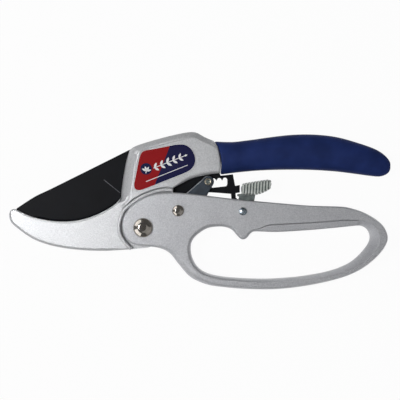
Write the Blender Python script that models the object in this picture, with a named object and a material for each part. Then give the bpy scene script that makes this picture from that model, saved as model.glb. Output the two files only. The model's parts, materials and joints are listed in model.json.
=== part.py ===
"""Ratchet anvil pruning shears, closed, lying flat with the label side up (+Z).

The origin is on the main pivot's axis, on the plane the tool rests on. +X runs from the pivot to
the handles and +Y across the tool. Sizes and outlines are in millimetres and meshes in metres.
"""
import math

import bmesh
import bpy
from mathutils import Vector
from mathutils.geometry import tessellate_polygon

MM = 0.001

# Pivot places on the closed tool (x, y)
MAIN = (0.0, 0.0)           # frame to loop handle
BLADE_PIVOT = (12.0, 28.2)  # frame to blade, under the label
LINK_PIVOT = (18.7, 9.1)    # loop handle to link plates
LATCH_PIVOT = (53.3, 8.7)   # loop handle to safety catch
RATCHET = (34.7, 24.6)      # link plates' pin, in the rack's last notch

# Plan sizes
JAW_LENGTH = 60.7        # head front to jaw nose
LOOP_LENGTH = 75.9       # latch region to the loop's far end
GRIP_LENGTH = 92.0       # collar to the grip's far end
TANG_LENGTH = 62.0
TANG_WIDTH = 9.0
TANG_Y = 39.5            # middle line of the tang and of its hollow

# Thicknesses, all stacked about the blade's middle plane
CLEAR = 0.3              # running gap between neighbouring pieces
BLADE_THICK = 3.0
LINK_THICK = 2.2
CHEEK_THICK = 3.0
WASHER_THICK = 0.6
JAW_THICK = 11.4
HEAD_STEP = 0.6          # how far the head's face lies below the handle's face
TANG_THICK = 8.0
GRIP_THICK = 16.2
LABEL_THICK = 0.4
PAD_THICK = 12.6
CASTING_BEVEL = 1.1

# Pins and their heads
MAIN_PIN_R = 4.0
MAIN_HEAD_R = 5.2
MAIN_DOME = 2.2
REAR_HEAD = 1.4
LINK_PIN_R = 1.7
LINK_HEAD_R = 3.1
LINK_DOME = 1.4
LATCH_PIN_R = 1.3
LATCH_HEAD_R = 2.1
LATCH_DOME = 0.7
SMALL_REAR_HEAD = 0.9
BLADE_PIN_R = 3.2
BUSH_WALL = 1.0
RATCHET_PIN_R = 1.3
RATCHET_HEAD_R = 1.9
WIRE_R = 0.4

# Rack in the blade's tail
NOTCH_PITCH = 3.05
NOTCH_R = 1.25
NOTCHES = 4
TOOTH_TIPS = (25.7, 25.25, 25.2)  # heights of the tips between the notches

# Edge and fit details
ANVIL_LIP = 1.3          # how deep the anvil groove lies below its front lip
EDGE_WIDTH = 4.2         # width of the blade's ground bevel
EDGE_THICK = 0.5
HUB_R = 8.6              # blade round its pivot
WEB_R = 11.0             # frame web round the main pivot
CHANNEL_FLOOR = 4.4      # y of the handle channel's floor
JAW_START = -11.3
LOOP_START = 54.9
COLLAR_X = 41.2

# Heights worked out from the stack
SLOT_HALF = BLADE_THICK / 2 + CLEAR
CHANNEL_HALF = SLOT_HALF + LINK_THICK + CLEAR
HANDLE_HALF = CHANNEL_HALF + CHEEK_THICK
WEB_HALF = CHANNEL_HALF - WASHER_THICK - 2 * CLEAR
HEAD_HALF = HANDLE_HALF - HEAD_STEP
MID_Z = REAR_HEAD + CLEAR + HANDLE_HALF


def clear_scene():
    for item in list(bpy.data.objects):
        bpy.data.objects.remove(item, do_unlink=True)


def finish_of(name, colour, roughness, metallic):
    material = bpy.data.materials.new(name)
    material.use_nodes = True
    shader = material.node_tree.nodes["Principled BSDF"]
    shader.inputs["Base Color"].default_value = (*colour, 1.0)
    shader.inputs["Roughness"].default_value = roughness
    shader.inputs["Metallic"].default_value = metallic
    return material


# Outline helpers: every outline is a list of (x, y) points

def run(points, steps=3):
    """Smooth open curve through the points."""
    ends = [points[0]] + list(points) + [points[-1]]
    curve = []
    for i in range(len(points) - 1):
        p0, p1, p2, p3 = ends[i:i + 4]
        for k in range(steps):
            t = k / steps
            curve.append(tuple(
                0.5 * (2 * b + (c - a) * t + (2 * a - 5 * b + 4 * c - d) * t * t
                       + (3 * b - a - 3 * c + d) * t ** 3)
                for a, b, c, d in zip(p0, p1, p2, p3)))
    curve.append(tuple(points[-1]))
    return curve


def loop(points, steps=3):
    """Smooth closed curve through the points."""
    count = len(points)
    wrapped = [points[-1]] + list(points) + list(points[:2])
    curve = run(wrapped, steps)
    return curve[steps:steps * (count + 1)]


def chain(*runs):
    """Joins runs end to end and leaves out doubled points."""
    outline = []
    for piece in runs:
        for point in piece:
            if not outline or math.dist(point, outline[-1]) > 0.01:
                outline.append(point)
    if math.dist(outline[0], outline[-1]) <= 0.01:
        outline.pop()
    return outline


def arc(centre, radius, start, end, count):
    """Points on an arc, angles in degrees."""
    points = []
    for i in range(count + 1):
        angle = math.radians(start + (end - start) * i / count)
        points.append((centre[0] + radius * math.cos(angle), centre[1] + radius * math.sin(angle)))
    return points


def ring(centre, radius, count=24):
    return arc(centre, radius, 0, 360 - 360 / count, count - 1)


def along(points, start, length):
    """Turns (share of the length, y) into (x, y)."""
    return [(start + share * length, y) for share, y in points]


def area(outline):
    total = 0.0
    for i, (x, y) in enumerate(outline):
        last_x, last_y = outline[i - 1]
        total += last_x * y - x * last_y
    return total / 2


def turned(outline, positive):
    return list(outline) if (area(outline) > 0) == positive else list(reversed(outline))


def inset(outline, amount):
    """Moves each point to its left by the amount, mitred at the corners."""
    if amount == 0:
        return list(outline)
    count = len(outline)
    moved = []
    for i in range(count):
        before = Vector(outline[i]) - Vector(outline[i - 1])
        after = Vector(outline[(i + 1) % count]) - Vector(outline[i])
        left_a = Vector((-before.y, before.x)).normalized()
        left_b = Vector((-after.y, after.x)).normalized()
        mitre = (left_a + left_b) / max(0.5, 1 + left_a.dot(left_b))
        moved.append((outline[i][0] + mitre.x * amount, outline[i][1] + mitre.y * amount))
    return moved


# Mesh helpers

def new_object(name, mesh_data, material, pivot=None, smooth=True):
    """Makes the object, with its origin on its pivot's empty if it has one."""
    item = bpy.data.objects.new(name, mesh_data)
    bpy.context.collection.objects.link(item)
    if pivot is not None:
        for vertex in mesh_data.vertices:
            vertex.co -= pivot["place"]
        item.parent = pivot["empty"]
    if material is not None:
        mesh_data.materials.append(material)
    if smooth:
        mesh_data.shade_smooth()
        mesh_data.set_sharp_from_angle(angle=math.radians(35))
    return item


def mesh_from(name, points, faces):
    """Mesh of points in millimetres, cleaned and with its faces turned outward."""
    data = bpy.data.meshes.new(name)
    data.from_pydata([Vector(p) * MM for p in points], [], faces)
    work = bmesh.new()
    work.from_mesh(data)
    bmesh.ops.remove_doubles(work, verts=work.verts, dist=1e-8)
    bmesh.ops.recalc_face_normals(work, faces=work.faces)
    work.to_mesh(data)
    work.free()
    return data


def layered(name, outer, holes, levels):
    """Closed mesh of an outline carried through levels of (z, inset)."""
    loops = [turned(outer, True)] + [turned(hole, False) for hole in holes]
    points = []
    faces = []
    starts = []
    for z, amount in levels:
        starts.append([])
        for outline in loops:
            starts[-1].append(len(points))
            points += [(x, y, z) for x, y in inset(outline, amount)]
    for low, high in zip(starts, starts[1:]):
        for outline, a, b in zip(loops, low, high):
            count = len(outline)
            for i in range(count):
                j = (i + 1) % count
                faces.append((a + i, a + j, b + j, b + i))
    for level, flip in ((0, True), (len(levels) - 1, False)):
        z, amount = levels[level]
        flat = [[Vector((x, y, 0)) for x, y in inset(outline, amount)] for outline in loops]
        for triangle in tessellate_polygon(flat):
            corners = [starts[level][0] + i for i in triangle]
            faces.append(tuple(reversed(corners)) if flip else tuple(corners))
    return mesh_from(name, points, faces)


def bevelled(low, high, bevel):
    return [(low, bevel), (low + bevel, 0), (high - bevel, 0), (high, bevel)]


def plain(low, high):
    return [(low, 0), (high, 0)]


def turned_piece(name, centre, profile, count=28, inner=0.0):
    """Turned piece from (radius, z) points, bottom to top, solid or with a bore."""
    points = []
    faces = []
    for radius, z in profile:
        for i in range(count):
            angle = 2 * math.pi * i / count
            points.append((centre[0] + radius * math.cos(angle), centre[1] + radius * math.sin(angle), z))
    rings = len(profile)
    last = rings if inner else rings - 1
    for r in range(last):
        for i in range(count):
            j = (i + 1) % count
            a = r * count
            b = ((r + 1) % rings) * count
            faces.append((a + i, a + j, b + j, b + i))
    if not inner:
        faces.append(tuple(reversed(range(count))))
        faces.append(tuple(range((rings - 1) * count, rings * count)))
    return mesh_from(name, points, faces)


def collar_ring(name, centre, bore, outside, low, high, count=28):
    """Flat ring, such as a washer or a bush."""
    profile = [(bore, low), (outside, low), (outside, high), (bore, high)]
    return turned_piece(name, centre, profile, count, inner=bore)


def dome(radius, height, base, steps=5):
    """Profile points of a domed head, from its rim to near its crown."""
    sphere = (radius * radius + height * height) / (2 * height)
    span = math.asin(radius / sphere)
    points = []
    for i in range(steps):
        angle = span * (1 - i / steps)
        points.append((sphere * math.sin(angle), base + height - sphere * (1 - math.cos(angle))))
    return points


def cutter(name, mesh_data):
    item = new_object(name, mesh_data, None, smooth=False)
    item.hide_render = True
    item.display_type = "WIRE"
    return item


def combine(target, tool, operation="DIFFERENCE"):
    modifier = target.modifiers.new(tool.name, "BOOLEAN")
    modifier.operation = operation
    modifier.solver = "EXACT"
    modifier.object = tool


def pivot_at(name, place, parent=None):
    """Empty on a joint's axis."""
    empty = bpy.data.objects.new(name, None)
    empty.empty_display_size = 0.01
    bpy.context.collection.objects.link(empty)
    world = Vector((place[0], place[1], MID_Z)) * MM
    empty.location = world
    if parent is not None:
        empty.parent = parent["empty"]
        empty.location = world - parent["place"]
    return {"empty": empty, "place": world}


def bore(target, name, centre, radius, low=-5.0, high=30.0):
    combine(target, cutter(name, layered(name, ring(centre, radius), [], plain(low, high))))


# Outlines shared by neighbours

def anvil_curve():
    """Front lip of the anvil, from the jaw's nose to the head's front."""
    return along([(-0.926, 9.3), (-0.806, 6.1), (-0.674, 4.1), (-0.542, 3.3), (-0.41, 3.7),
                  (-0.277, 5.7), (-0.145, 9.3), (-0.048, 13.3), (0, 17.2)], JAW_START, JAW_LENGTH)


def jaw_under():
    """Underside of the jaw, from its nose to the frame's web."""
    nose = along([(-0.926, 9.3), (-0.955, 10.0), (-0.982, 9.4), (-1.0, 7.3), (-0.995, 4.7),
                  (-0.974, 2.2), (-0.895, -1.8), (-0.806, -5.5), (-0.718, -7.9), (-0.586, -10.2),
                  (-0.41, -11.8), (-0.189, -12.5), (-0.013, -12.0)], JAW_START, JAW_LENGTH)
    return nose + [(0.0, -WEB_R)]


def spine_curve():
    """Back of the blade, from its tip to the head's front."""
    return along([(-0.935, 9.9), (-0.779, 16.5), (-0.629, 20.9), (-0.277, 31.5)],
                 JAW_START, JAW_LENGTH) + [(-7.1, 42.0)]


def collar_curve():
    """End of the head where the grip begins, top to bottom."""
    return [(COLLAR_X - 3.5, 46.4), (COLLAR_X - 1.4, 43.2), (COLLAR_X - 0.1, 38.9),
            (COLLAR_X + 0.4, 34.1), (COLLAR_X, 29.3)]


def recess_curve():
    """Edge of the pocket that the handle's front turns in."""
    return [(-7.5, -10.3), (-12.4, -4.9), (-13.5, 0.0), (-12.8, 4.9), (-11.0, 9.8), (-6.3, 14.4),
            (-2.2, 17.1), (2.6, 19.3), (7.7, 20.9), (12.5, 21.6), (15.7, 21.0)]


def bar_outline(start, end, half):
    return [(start, TANG_Y - half), (end, TANG_Y - half), (end, TANG_Y + half),
            (start, TANG_Y + half)]


def label_curve(grow=0.0):
    shape = [(-1.4, 39.4), (0.6, 41.2), (6.0, 42.2), (13.1, 43.6), (17.9, 44.5), (22.1, 44.4),
             (25.6, 42.3), (27.6, 38.6), (27.9, 35.0), (26.4, 31.8), (22.8, 29.3), (12.0, 25.0),
             (2.0, 21.0), (-2.0, 19.9), (-4.3, 20.7), (-4.9, 23.2), (-3.8, 28.8), (-2.5, 35.5)]
    return inset(turned(loop(shape, 2), True), -grow)


def frame_outline():
    head_top = [(-7.3, 41.7), (-4.1, 43.6), (1.3, 45.5), (9.3, 47.8), (17.3, 49.8), (23.0, 50.9),
                (26.4, 51.2), (29.0, 50.6), (33.0, 48.4), (37.0, 46.7), collar_curve()[0]]
    head_low = [collar_curve()[-1], (36.1, 28.6), (30.7, 27.6), (25.4, 26.1), (20.5, 23.6),
                (15.7, 21.0)]
    neck = [(15.7, 21.0), (14.2, 16.0), (13.0, 11.0), (11.6, 7.2), arc(MAIN, WEB_R, 24, 24, 1)[0]]
    web = arc(MAIN, WEB_R, 24, -90, 10)
    return chain(run(anvil_curve()), run([(JAW_START, 17.2), (-10.0, 25.5), (-7.3, 41.7)], 2),
                 run(head_top, 2), run(collar_curve(), 2), run(head_low, 2), run(neck, 2), web,
                 list(reversed(run(jaw_under(), 2))))


def slot_outline():
    """Slot through the frame for the blade: open at the front, the top front and under the head."""
    floor = [(x, y - ANVIL_LIP) for x, y in run(anvil_curve())]
    nose_x = floor[0][0]
    inner = run([floor[-1], (-6.0, 18.1), (0.0, 18.6)], 2)
    hub = arc(BLADE_PIVOT, HUB_R + CLEAR + 0.6, -120, -104, 3)
    below = [(10.4, 15.6), (15.5, 14.6), (24.0, 8.0), (60.0, 8.0), (60.0, 27.0)]
    roof = [(COLLAR_X + 2.6, 28.6), (COLLAR_X - 0.5, 31.2), (34.0, 32.4), (24.0, 36.2), (15.5, 43.0),
            (7.0, 45.4)]
    outside = [(6.5, 60.0), (nose_x, 60.0)]
    return chain(floor, inner, hub, below, roof, outside)


def rack_outline():
    """Window in the blade's tail: notches along its top and a lane for the ratchet pin below."""
    x, y = RATCHET
    reach = RATCHET_PIN_R + CLEAR
    tops = arc((x, y + reach - NOTCH_R), NOTCH_R, 150, 40, 4)
    for i, tip in enumerate(TOOTH_TIPS):
        tops.append((x + NOTCH_PITCH * (i + 0.5), tip))
        centre = (x + NOTCH_PITCH * (i + 1), y + 0.6 + 0.2 * i)
        tops += arc(centre, NOTCH_R, 140, 40 if i < NOTCHES - 2 else 0, 4)
    right = x + NOTCH_PITCH * (NOTCHES - 1) + NOTCH_R
    bottom = [(right, 23.4), (right - 0.5, 22.4), (right - 1.6, 22.1), (x + 2.4, 21.4)]
    left = arc((x, y), reach, -100, -210, 5)
    return chain(tops, bottom, left)


def blade_parts():
    """The blade's outline without its edge strip, the edge itself and the strip's inner line."""
    edge = [(x, y - ANVIL_LIP + CLEAR) for x, y in run(anvil_curve(), 2)]
    edge[0] = (edge[0][0] + 0.2, edge[0][1] + 0.2)
    count = len(edge)
    inner = []
    for i, (x, y) in enumerate(edge):
        share = i / (count - 1)
        ahead = Vector(edge[min(i + 1, count - 1)]) - Vector(edge[max(i - 1, 0)])
        left = Vector((-ahead.y, ahead.x)).normalized()
        width = EDGE_WIDTH * min(1.0, 5 * share) * min(1.0, 0.25 + 6 * (1 - share))
        inner.append((x + left.x * width, y + left.y * width))
    heel = run([edge[-1], (-6.2, 18.6), (0.0, 19.4), (5.0, 21.0)], 2)
    hub = arc(BLADE_PIVOT, HUB_R, -118, -78, 3)
    right = RATCHET[0] + NOTCH_PITCH * (NOTCHES - 1) + NOTCH_R
    tail = [(17.5, 18.3), (21.0, 17.7), (28.0, 18.5), (35.5, 18.9), (right + 2.0, 18.1),
            (right + 2.2, 15.6), (right + 2.6, 14.2), (right + 5.2, 14.2), (right + 5.6, 15.2),
            (right + 4.6, 16.0), (right + 4.4, 18.4), (right + 6.7, 18.9), (right + 6.7, 22.9),
            (right + 4.2, 22.4), (right + 3.0, 28.6), (COLLAR_X + 0.3, 27.9)]
    roof = [(COLLAR_X - 0.6, 29.9), (34.0, 31.4), (24.0, 35.0), (16.0, 38.0), (9.0, 39.8),
            (1.0, 41.4), (-3.5, 42.6)]
    spine = list(reversed(run(spine_curve(), 3)))
    outline = chain(inner, heel[1:], hub, tail, run(roof, 2), spine[:-1])
    return outline, edge, inner


def handle_outline():
    neck_top = [(-11.3, 0.0), (-10.5, 5.7), (-7.7, 10.3), (-4.6, 13.2), (-0.9, 15.6), (4.0, 17.7),
                (9.3, 18.7), (14.7, 18.9), (25.4, 18.2), (41.4, 16.2), (54.9, 14.7)]
    far = along([(0.245, 13.1), (0.458, 11.8), (0.668, 11.3), (0.74, 10.4), (0.823, 8.4),
                 (0.908, 4.9), (0.971, 0.6), (1.0, -5.0), (0.982, -9.8), (0.929, -15.1),
                 (0.851, -20.2), (0.767, -24.0), (0.668, -26.9), (0.527, -29.6), (0.386, -31.5),
                 (0.245, -32.7), (0.119, -33.0)], LOOP_START, LOOP_LENGTH)
    neck_low = [(52.1, -32.6), (41.4, -31.6), (35.0, -30.6), (29.1, -28.5), (24.3, -25.6),
                (18.9, -19.4), (14.7, -14.1), (10.4, -11.4), (5.0, -10.2), (-0.3, -9.8),
                (-5.1, -8.9), (-9.4, -5.5)]
    return loop(neck_top + far + neck_low, 2)


def finger_outline():
    front = [(25.4, -11.4), (26.2, -7.1), (29.1, -3.6), (33.9, -0.5), (38.7, 0.5), (43.5, 0.4),
             (47.3, -1.0), (50.0, -3.9), (52.0, -6.1), (53.7, -6.6), (55.4, -5.7), (57.4, -3.2),
             (59.2, -2.1)]
    far = along([(0.119, -2.1), (0.21, -2.3), (0.351, -1.8), (0.527, -0.8), (0.704, 0.5),
                 (0.794, 1.1), (0.845, 0.1), (0.876, -3.1), (0.876, -7.1), (0.837, -11.9),
                 (0.767, -17.3), (0.683, -21.0), (0.563, -24.0), (0.386, -26.4), (0.245, -27.4),
                 (0.119, -27.8)], LOOP_START, LOOP_LENGTH)
    back = [(52.1, -27.4), (41.4, -26.4), (33.9, -24.5), (29.1, -21.3), (26.3, -16.5)]
    return loop(front + far + back, 2)


def channel_outline():
    """Channel in the handle for the frame's web, the link, the tail and the catch."""
    start = -58
    web = arc(MAIN, WEB_R + 2 * CLEAR, start, 22, 8)
    reach = 40
    low = arc(MAIN, reach, start, start, 1)[:1]
    floor = [(LATCH_PIVOT[0] + 4.4, CHANNEL_FLOOR), (LATCH_PIVOT[0] + 11.4, 15.4),
             (LATCH_PIVOT[0] + 12.0, 45.0), (-40.0, 45.0), (-40.0, -40.0)]
    return chain(low, web, floor)


# Sub-parts

def build_frame(material):
    body = new_object("frame_casting", layered("frame_casting", frame_outline(), [], bevelled(
        MID_Z - HEAD_HALF, MID_Z + HEAD_HALF, CASTING_BEVEL)), material)
    jaw_half = JAW_THICK / 2
    nose_x = JAW_START - JAW_LENGTH
    for vertex in body.data.vertices:
        x = vertex.co.x / MM
        y = vertex.co.y / MM
        if x < -6.5 and y < 19.0:
            tip = max(0.0, (JAW_START - x) / (JAW_START - nose_x))
            share = (jaw_half / HEAD_HALF) * (1 - 0.24 * tip)
            height = vertex.co.z / MM - MID_Z
            vertex.co.z = (MID_Z + height * share) * MM
    root = COLLAR_X - 3  # the tang starts inside the head
    tang = layered("tang", bar_outline(root, COLLAR_X + TANG_LENGTH, TANG_WIDTH / 2), [], bevelled(
        MID_Z - TANG_THICK / 2, MID_Z + TANG_THICK / 2, CASTING_BEVEL))
    combine(body, cutter("tang", tang), "UNION")
    pocket = chain(run([(-7.5, -30.0), recess_curve()[0]], 1), run(recess_curve(), 2),
                   [(30.0, 10.0), (30.0, -30.0)])
    for name, low, high in (("front_pocket", MID_Z + WEB_HALF, MID_Z + 20),
                            ("rear_pocket", MID_Z - 20, MID_Z - WEB_HALF)):
        combine(body, cutter(name, layered(name, pocket, [], plain(low, high))))
    combine(body, cutter("blade_slot", layered("blade_slot", slot_outline(), [], plain(
        MID_Z - SLOT_HALF, MID_Z + SLOT_HALF))))
    face = MID_Z + HEAD_HALF
    combine(body, cutter("label_seat", layered("label_seat", label_curve(CLEAR), [], plain(
        face - LABEL_THICK, face + 5))))
    bore(body, "blade_pin_bore", BLADE_PIVOT, BLADE_PIN_R + CLEAR)
    bore(body, "main_bore", MAIN, MAIN_PIN_R + CLEAR)
    return body


def build_label(material):
    low = MID_Z + HEAD_HALF - LABEL_THICK + CLEAR
    return new_object("label_plate", layered("label_plate", label_curve(), [],
                                             plain(low, low + LABEL_THICK)), material)


def grip_edges(x):
    """Lower and upper edge of the grip at a share of its length."""
    low = [(0.0, 28.5), (0.117, 30.0), (0.233, 31.0), (0.379, 31.4), (0.524, 31.3), (0.669, 30.5),
           (0.786, 29.1), (0.874, 27.8), (0.93, 27.4), (0.967, 28.4), (0.992, 30.3), (1.0, 33.0)]
    high = [(0.0, 46.3), (0.088, 46.0), (0.175, 47.0), (0.292, 48.6), (0.408, 49.8), (0.512, 50.1),
            (0.611, 49.6), (0.7, 48.3), (0.803, 45.6), (0.897, 42.6), (0.954, 39.9), (0.99, 36.0),
            (1.0, 33.0)]
    edges = []
    for table in (low, high):
        for (x0, y0), (x1, y1) in zip(table, table[1:]):
            if x0 <= x <= x1:
                edges.append(y0 + (y1 - y0) * (x - x0) / (x1 - x0))
                break
    return edges


def build_grip(material):
    """Dipped grip: rounded sections along the tang, its mouth following the collar."""
    half = 12
    shares = [0.0, 0.06, 0.13, 0.22, 0.32, 0.42, 0.52, 0.62, 0.71, 0.79, 0.86, 0.91, 0.95, 0.98,
              0.995]
    collar = [(x + CLEAR, y) for x, y in run(collar_curve(), 6)]
    points = []
    for share in shares:
        low, high = grip_edges(share)
        middle = (low + high) / 2
        thick = GRIP_THICK / 2 * (0.86 + 0.14 * math.sin(math.pi * min(1.0, share + 0.12)))
        thick *= math.sqrt(max(0.05, 1 - max(0.0, (share - 0.72) / 0.285) ** 2))
        for k in range(2 * half):
            angle = math.pi / 2 - math.pi * k / half
            square = 0.78
            sin = math.copysign(abs(math.sin(angle)) ** square, math.sin(angle))
            cos = math.copysign(abs(math.cos(angle)) ** square, math.cos(angle))
            y = middle + sin * (high - low) / 2
            mouth = min(collar, key=lambda p: abs(p[1] - y))[0]
            for (xa, ya), (xb, yb) in zip(collar, collar[1:]):
                if yb <= y <= ya:
                    mouth = xa + (xb - xa) * (ya - y) / (ya - yb)
            straight = COLLAR_X + share * GRIP_LENGTH
            blend = max(0.0, 1 - share / 0.22)
            points.append((straight + (mouth - COLLAR_X) * blend, y, MID_Z + cos * thick))
    count = 2 * half
    faces = []
    for r in range(len(shares) - 1):
        for k in range(count):
            n = (k + 1) % count
            faces.append((r * count + k, r * count + n, (r + 1) * count + n, (r + 1) * count + k))
    for base in (0, (len(shares) - 1) * count):
        for k in range(half):
            left = base + (count - k) % count
            left_next = base + count - k - 1
            right = base + k
            right_next = base + k + 1
            corners = [left, left_next, right_next, right]
            faces.append([c for i, c in enumerate(corners) if c not in corners[:i]])
    grip = new_object("grip_sleeve", mesh_from("grip_sleeve", points, faces), material)
    gap_z = TANG_THICK / 2 + CLEAR
    mouth_x = COLLAR_X - 12
    hollow = layered("tang_hollow", bar_outline(mouth_x, COLLAR_X + TANG_LENGTH + CLEAR,
                                                TANG_WIDTH / 2 + CLEAR), [],
                     plain(MID_Z - gap_z, MID_Z + gap_z))
    combine(grip, cutter("tang_hollow", hollow))
    return grip


def build_blade(pivot, material):
    """Blade and toothed tail in one plate, ground from both faces to its edge."""
    outline, edge, inner = blade_parts()
    holes = [rack_outline(), ring(BLADE_PIVOT, BLADE_PIN_R + CLEAR, 28)]
    low = MID_Z - BLADE_THICK / 2
    high = MID_Z + BLADE_THICK / 2
    loops = [turned(outline, True)] + [turned(hole, False) for hole in holes]
    flat = [[Vector((x, y, 0)) for x, y in one] for one in loops]
    flat_points = [p for one in loops for p in one]
    count = len(flat_points)
    points = [(x, y, low) for x, y in flat_points] + [(x, y, high) for x, y in flat_points]
    faces = []
    for triangle in tessellate_polygon(flat):
        faces.append(tuple(reversed(triangle)))
        faces.append(tuple(i + count for i in triangle))
    where = {(round(x, 4), round(y, 4)): i for i, (x, y) in enumerate(flat_points)}
    strip = [where[(round(x, 4), round(y, 4))] for x, y in inner if
             (round(x, 4), round(y, 4)) in where]
    on_strip = set(strip)
    start = 0
    for one in loops:
        size = len(one)
        for i in range(size):
            a = start + i
            b = start + (i + 1) % size
            if not (a in on_strip and b in on_strip):
                faces.append((a, b, b + count, a + count))
        start += size
    base = len(points)
    places = [edge[i] for i, p in enumerate(inner) if (round(p[0], 4), round(p[1], 4)) in where]
    for z in (MID_Z - EDGE_THICK / 2, MID_Z + EDGE_THICK / 2):
        points += [(x, y, z) for x, y in places]
    total = len(places)
    for i in range(total - 1):
        a, b = strip[i], strip[i + 1]
        faces.append((base + i, base + i + 1, b, a))
        faces.append((a + count, b + count, base + total + i + 1, base + total + i))
        faces.append((base + i + 1, base + i, base + total + i, base + total + i + 1))
    for i in (0, total - 1):
        a = strip[i]
        faces.append((a, a + count, base + total + i, base + i))
    return new_object("blade", mesh_from("blade", points, faces), material, pivot)


def build_handle(pivot, material):
    body = new_object("loop_handle", layered(
        "loop_handle", handle_outline(), [finger_outline()],
        bevelled(MID_Z - HANDLE_HALF, MID_Z + HANDLE_HALF, CASTING_BEVEL)), material, pivot)
    combine(body, cutter("handle_channel", layered("handle_channel", channel_outline(), [], plain(
        MID_Z - CHANNEL_HALF, MID_Z + CHANNEL_HALF))))
    bore(body, "handle_main_bore", MAIN, MAIN_PIN_R + CLEAR)
    bore(body, "link_bore", LINK_PIVOT, LINK_PIN_R + CLEAR)
    bore(body, "latch_bore", LATCH_PIVOT, LATCH_PIN_R + CLEAR)
    return body


def rivet(name, centre, pin_r, head_r, dome_height, rear_r, rear_height, material, pivot=None):
    """Domed rivet through the handle's two cheeks, with a flat head behind."""
    face = MID_Z + HANDLE_HALF + CLEAR
    back = MID_Z - HANDLE_HALF - CLEAR
    profile = [(rear_r, back - rear_height), (rear_r, back), (pin_r, back), (pin_r, face)]
    profile += dome(head_r, dome_height, face)
    profile.append((0.35 * pin_r, face + dome_height))
    return new_object(name, turned_piece(name, centre, profile), material, pivot)


def build_main_pivot(material, washer_material):
    rivet("main_rivet", MAIN, MAIN_PIN_R, MAIN_HEAD_R, MAIN_DOME, MAIN_HEAD_R, REAR_HEAD, material)
    for name, side in (("pivot_washer_front", 1), ("pivot_washer_rear", -1)):
        near = MID_Z + side * (WEB_HALF + CLEAR)
        far = near + side * WASHER_THICK
        new_object(name, collar_ring(name, MAIN, MAIN_PIN_R + CLEAR, WEB_R - 2.6, min(near, far),
                                     max(near, far)), washer_material)


def build_blade_pin(material):
    low = MID_Z - HEAD_HALF + 0.2
    high = MID_Z + HEAD_HALF - LABEL_THICK - CLEAR
    chamfer = 0.4
    profile = [(BLADE_PIN_R - chamfer, low), (BLADE_PIN_R, low + chamfer),
               (BLADE_PIN_R, high - chamfer), (BLADE_PIN_R - chamfer, high)]
    new_object("blade_pivot_pin", turned_piece("blade_pivot_pin", BLADE_PIVOT, profile), material)


def link_outline():
    toe = arc(LINK_PIVOT, 4.2, 135, 290, 8)
    heel = run([(27.2, 6.6), (31.4, 11.4), (33.9, 16.8)], 2)
    top = arc(RATCHET, 3.2, -20, 150, 9)
    return chain(toe, heel, top)


def build_link(pivot, material, pin_material):
    for name, side in (("link_plate_front", 1), ("link_plate_rear", -1)):
        near = MID_Z + side * SLOT_HALF
        far = near + side * LINK_THICK
        holes = [ring(LINK_PIVOT, LINK_PIN_R + CLEAR, 20), ring(RATCHET, RATCHET_PIN_R + CLEAR, 20)]
        new_object(name, layered(name, link_outline(), holes, bevelled(
            min(near, far), max(near, far), 0.25)), material, pivot)
    face = SLOT_HALF + LINK_THICK + CLEAR
    profile = [(RATCHET_HEAD_R - 0.3, MID_Z - face - 0.5), (RATCHET_HEAD_R, MID_Z - face - 0.2),
               (RATCHET_HEAD_R, MID_Z - face), (RATCHET_PIN_R, MID_Z - face),
               (RATCHET_PIN_R, MID_Z + face), (RATCHET_HEAD_R, MID_Z + face),
               (RATCHET_HEAD_R, MID_Z + face + 0.2), (RATCHET_HEAD_R - 0.3, MID_Z + face + 0.5)]
    new_object("ratchet_pin", turned_piece("ratchet_pin", RATCHET, profile), pin_material, pivot)


def build_link_pivot(pivot, rivet_material, bush_material, spring_material):
    rivet("link_rivet", LINK_PIVOT, LINK_PIN_R, LINK_HEAD_R, LINK_DOME, LINK_HEAD_R,
          SMALL_REAR_HEAD, rivet_material, pivot)
    bush_r = LINK_PIN_R + CLEAR + BUSH_WALL
    half = SLOT_HALF - CLEAR
    new_object("link_bush", collar_ring("link_bush", LINK_PIVOT, LINK_PIN_R + CLEAR, bush_r,
                                        MID_Z - half, MID_Z + half), bush_material, pivot)
    build_spring(pivot, spring_material, bush_r + CLEAR + WIRE_R, half)


def build_spring(pivot, material, coil_r, half):
    """Torsion spring on the bush: one leg along the channel's floor, one along the link."""
    turns = 2.6
    per_turn = 14
    height = 2 * (half - WIRE_R)
    start = -90
    leg_low = (LINK_PIVOT[0] + 10.0, LINK_PIVOT[1] - coil_r)
    path = [(leg_low[0], leg_low[1], MID_Z - height / 2)]
    count = int(turns * per_turn)
    for i in range(count + 1):
        angle = math.radians(start - 360 * turns * i / count)
        path.append((LINK_PIVOT[0] + coil_r * math.cos(angle),
                     LINK_PIVOT[1] + coil_r * math.sin(angle),
                     MID_Z - height / 2 + height * i / count))
    last = math.radians(start - 360 * turns)
    tangent = (math.sin(last), -math.cos(last))
    path.append((path[-1][0] + 6.0 * tangent[0], path[-1][1] + 6.0 * tangent[1],
                 MID_Z + height / 2))
    new_object("return_spring", tube("return_spring", path, WIRE_R, 8), material, pivot)


def tube(name, path, radius, sides):
    """Round wire along a path, closed by flat ends."""
    points = []
    faces = []
    up = Vector((0, 0, 1))
    for i, place in enumerate(path):
        ahead = Vector(path[min(i + 1, len(path) - 1)]) - Vector(path[max(i - 1, 0)])
        side = ahead.cross(up).normalized()
        over = side.cross(ahead).normalized()
        for k in range(sides):
            angle = 2 * math.pi * k / sides
            points.append(Vector(place) + radius * (math.cos(angle) * side + math.sin(angle) * over))
    for r in range(len(path) - 1):
        for k in range(sides):
            n = (k + 1) % sides
            faces.append((r * sides + k, r * sides + n, (r + 1) * sides + n, (r + 1) * sides + k))
    faces.append(tuple(reversed(range(sides))))
    faces.append(tuple(range((len(path) - 1) * sides, len(path) * sides)))
    return mesh_from(name, points, faces)


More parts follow.
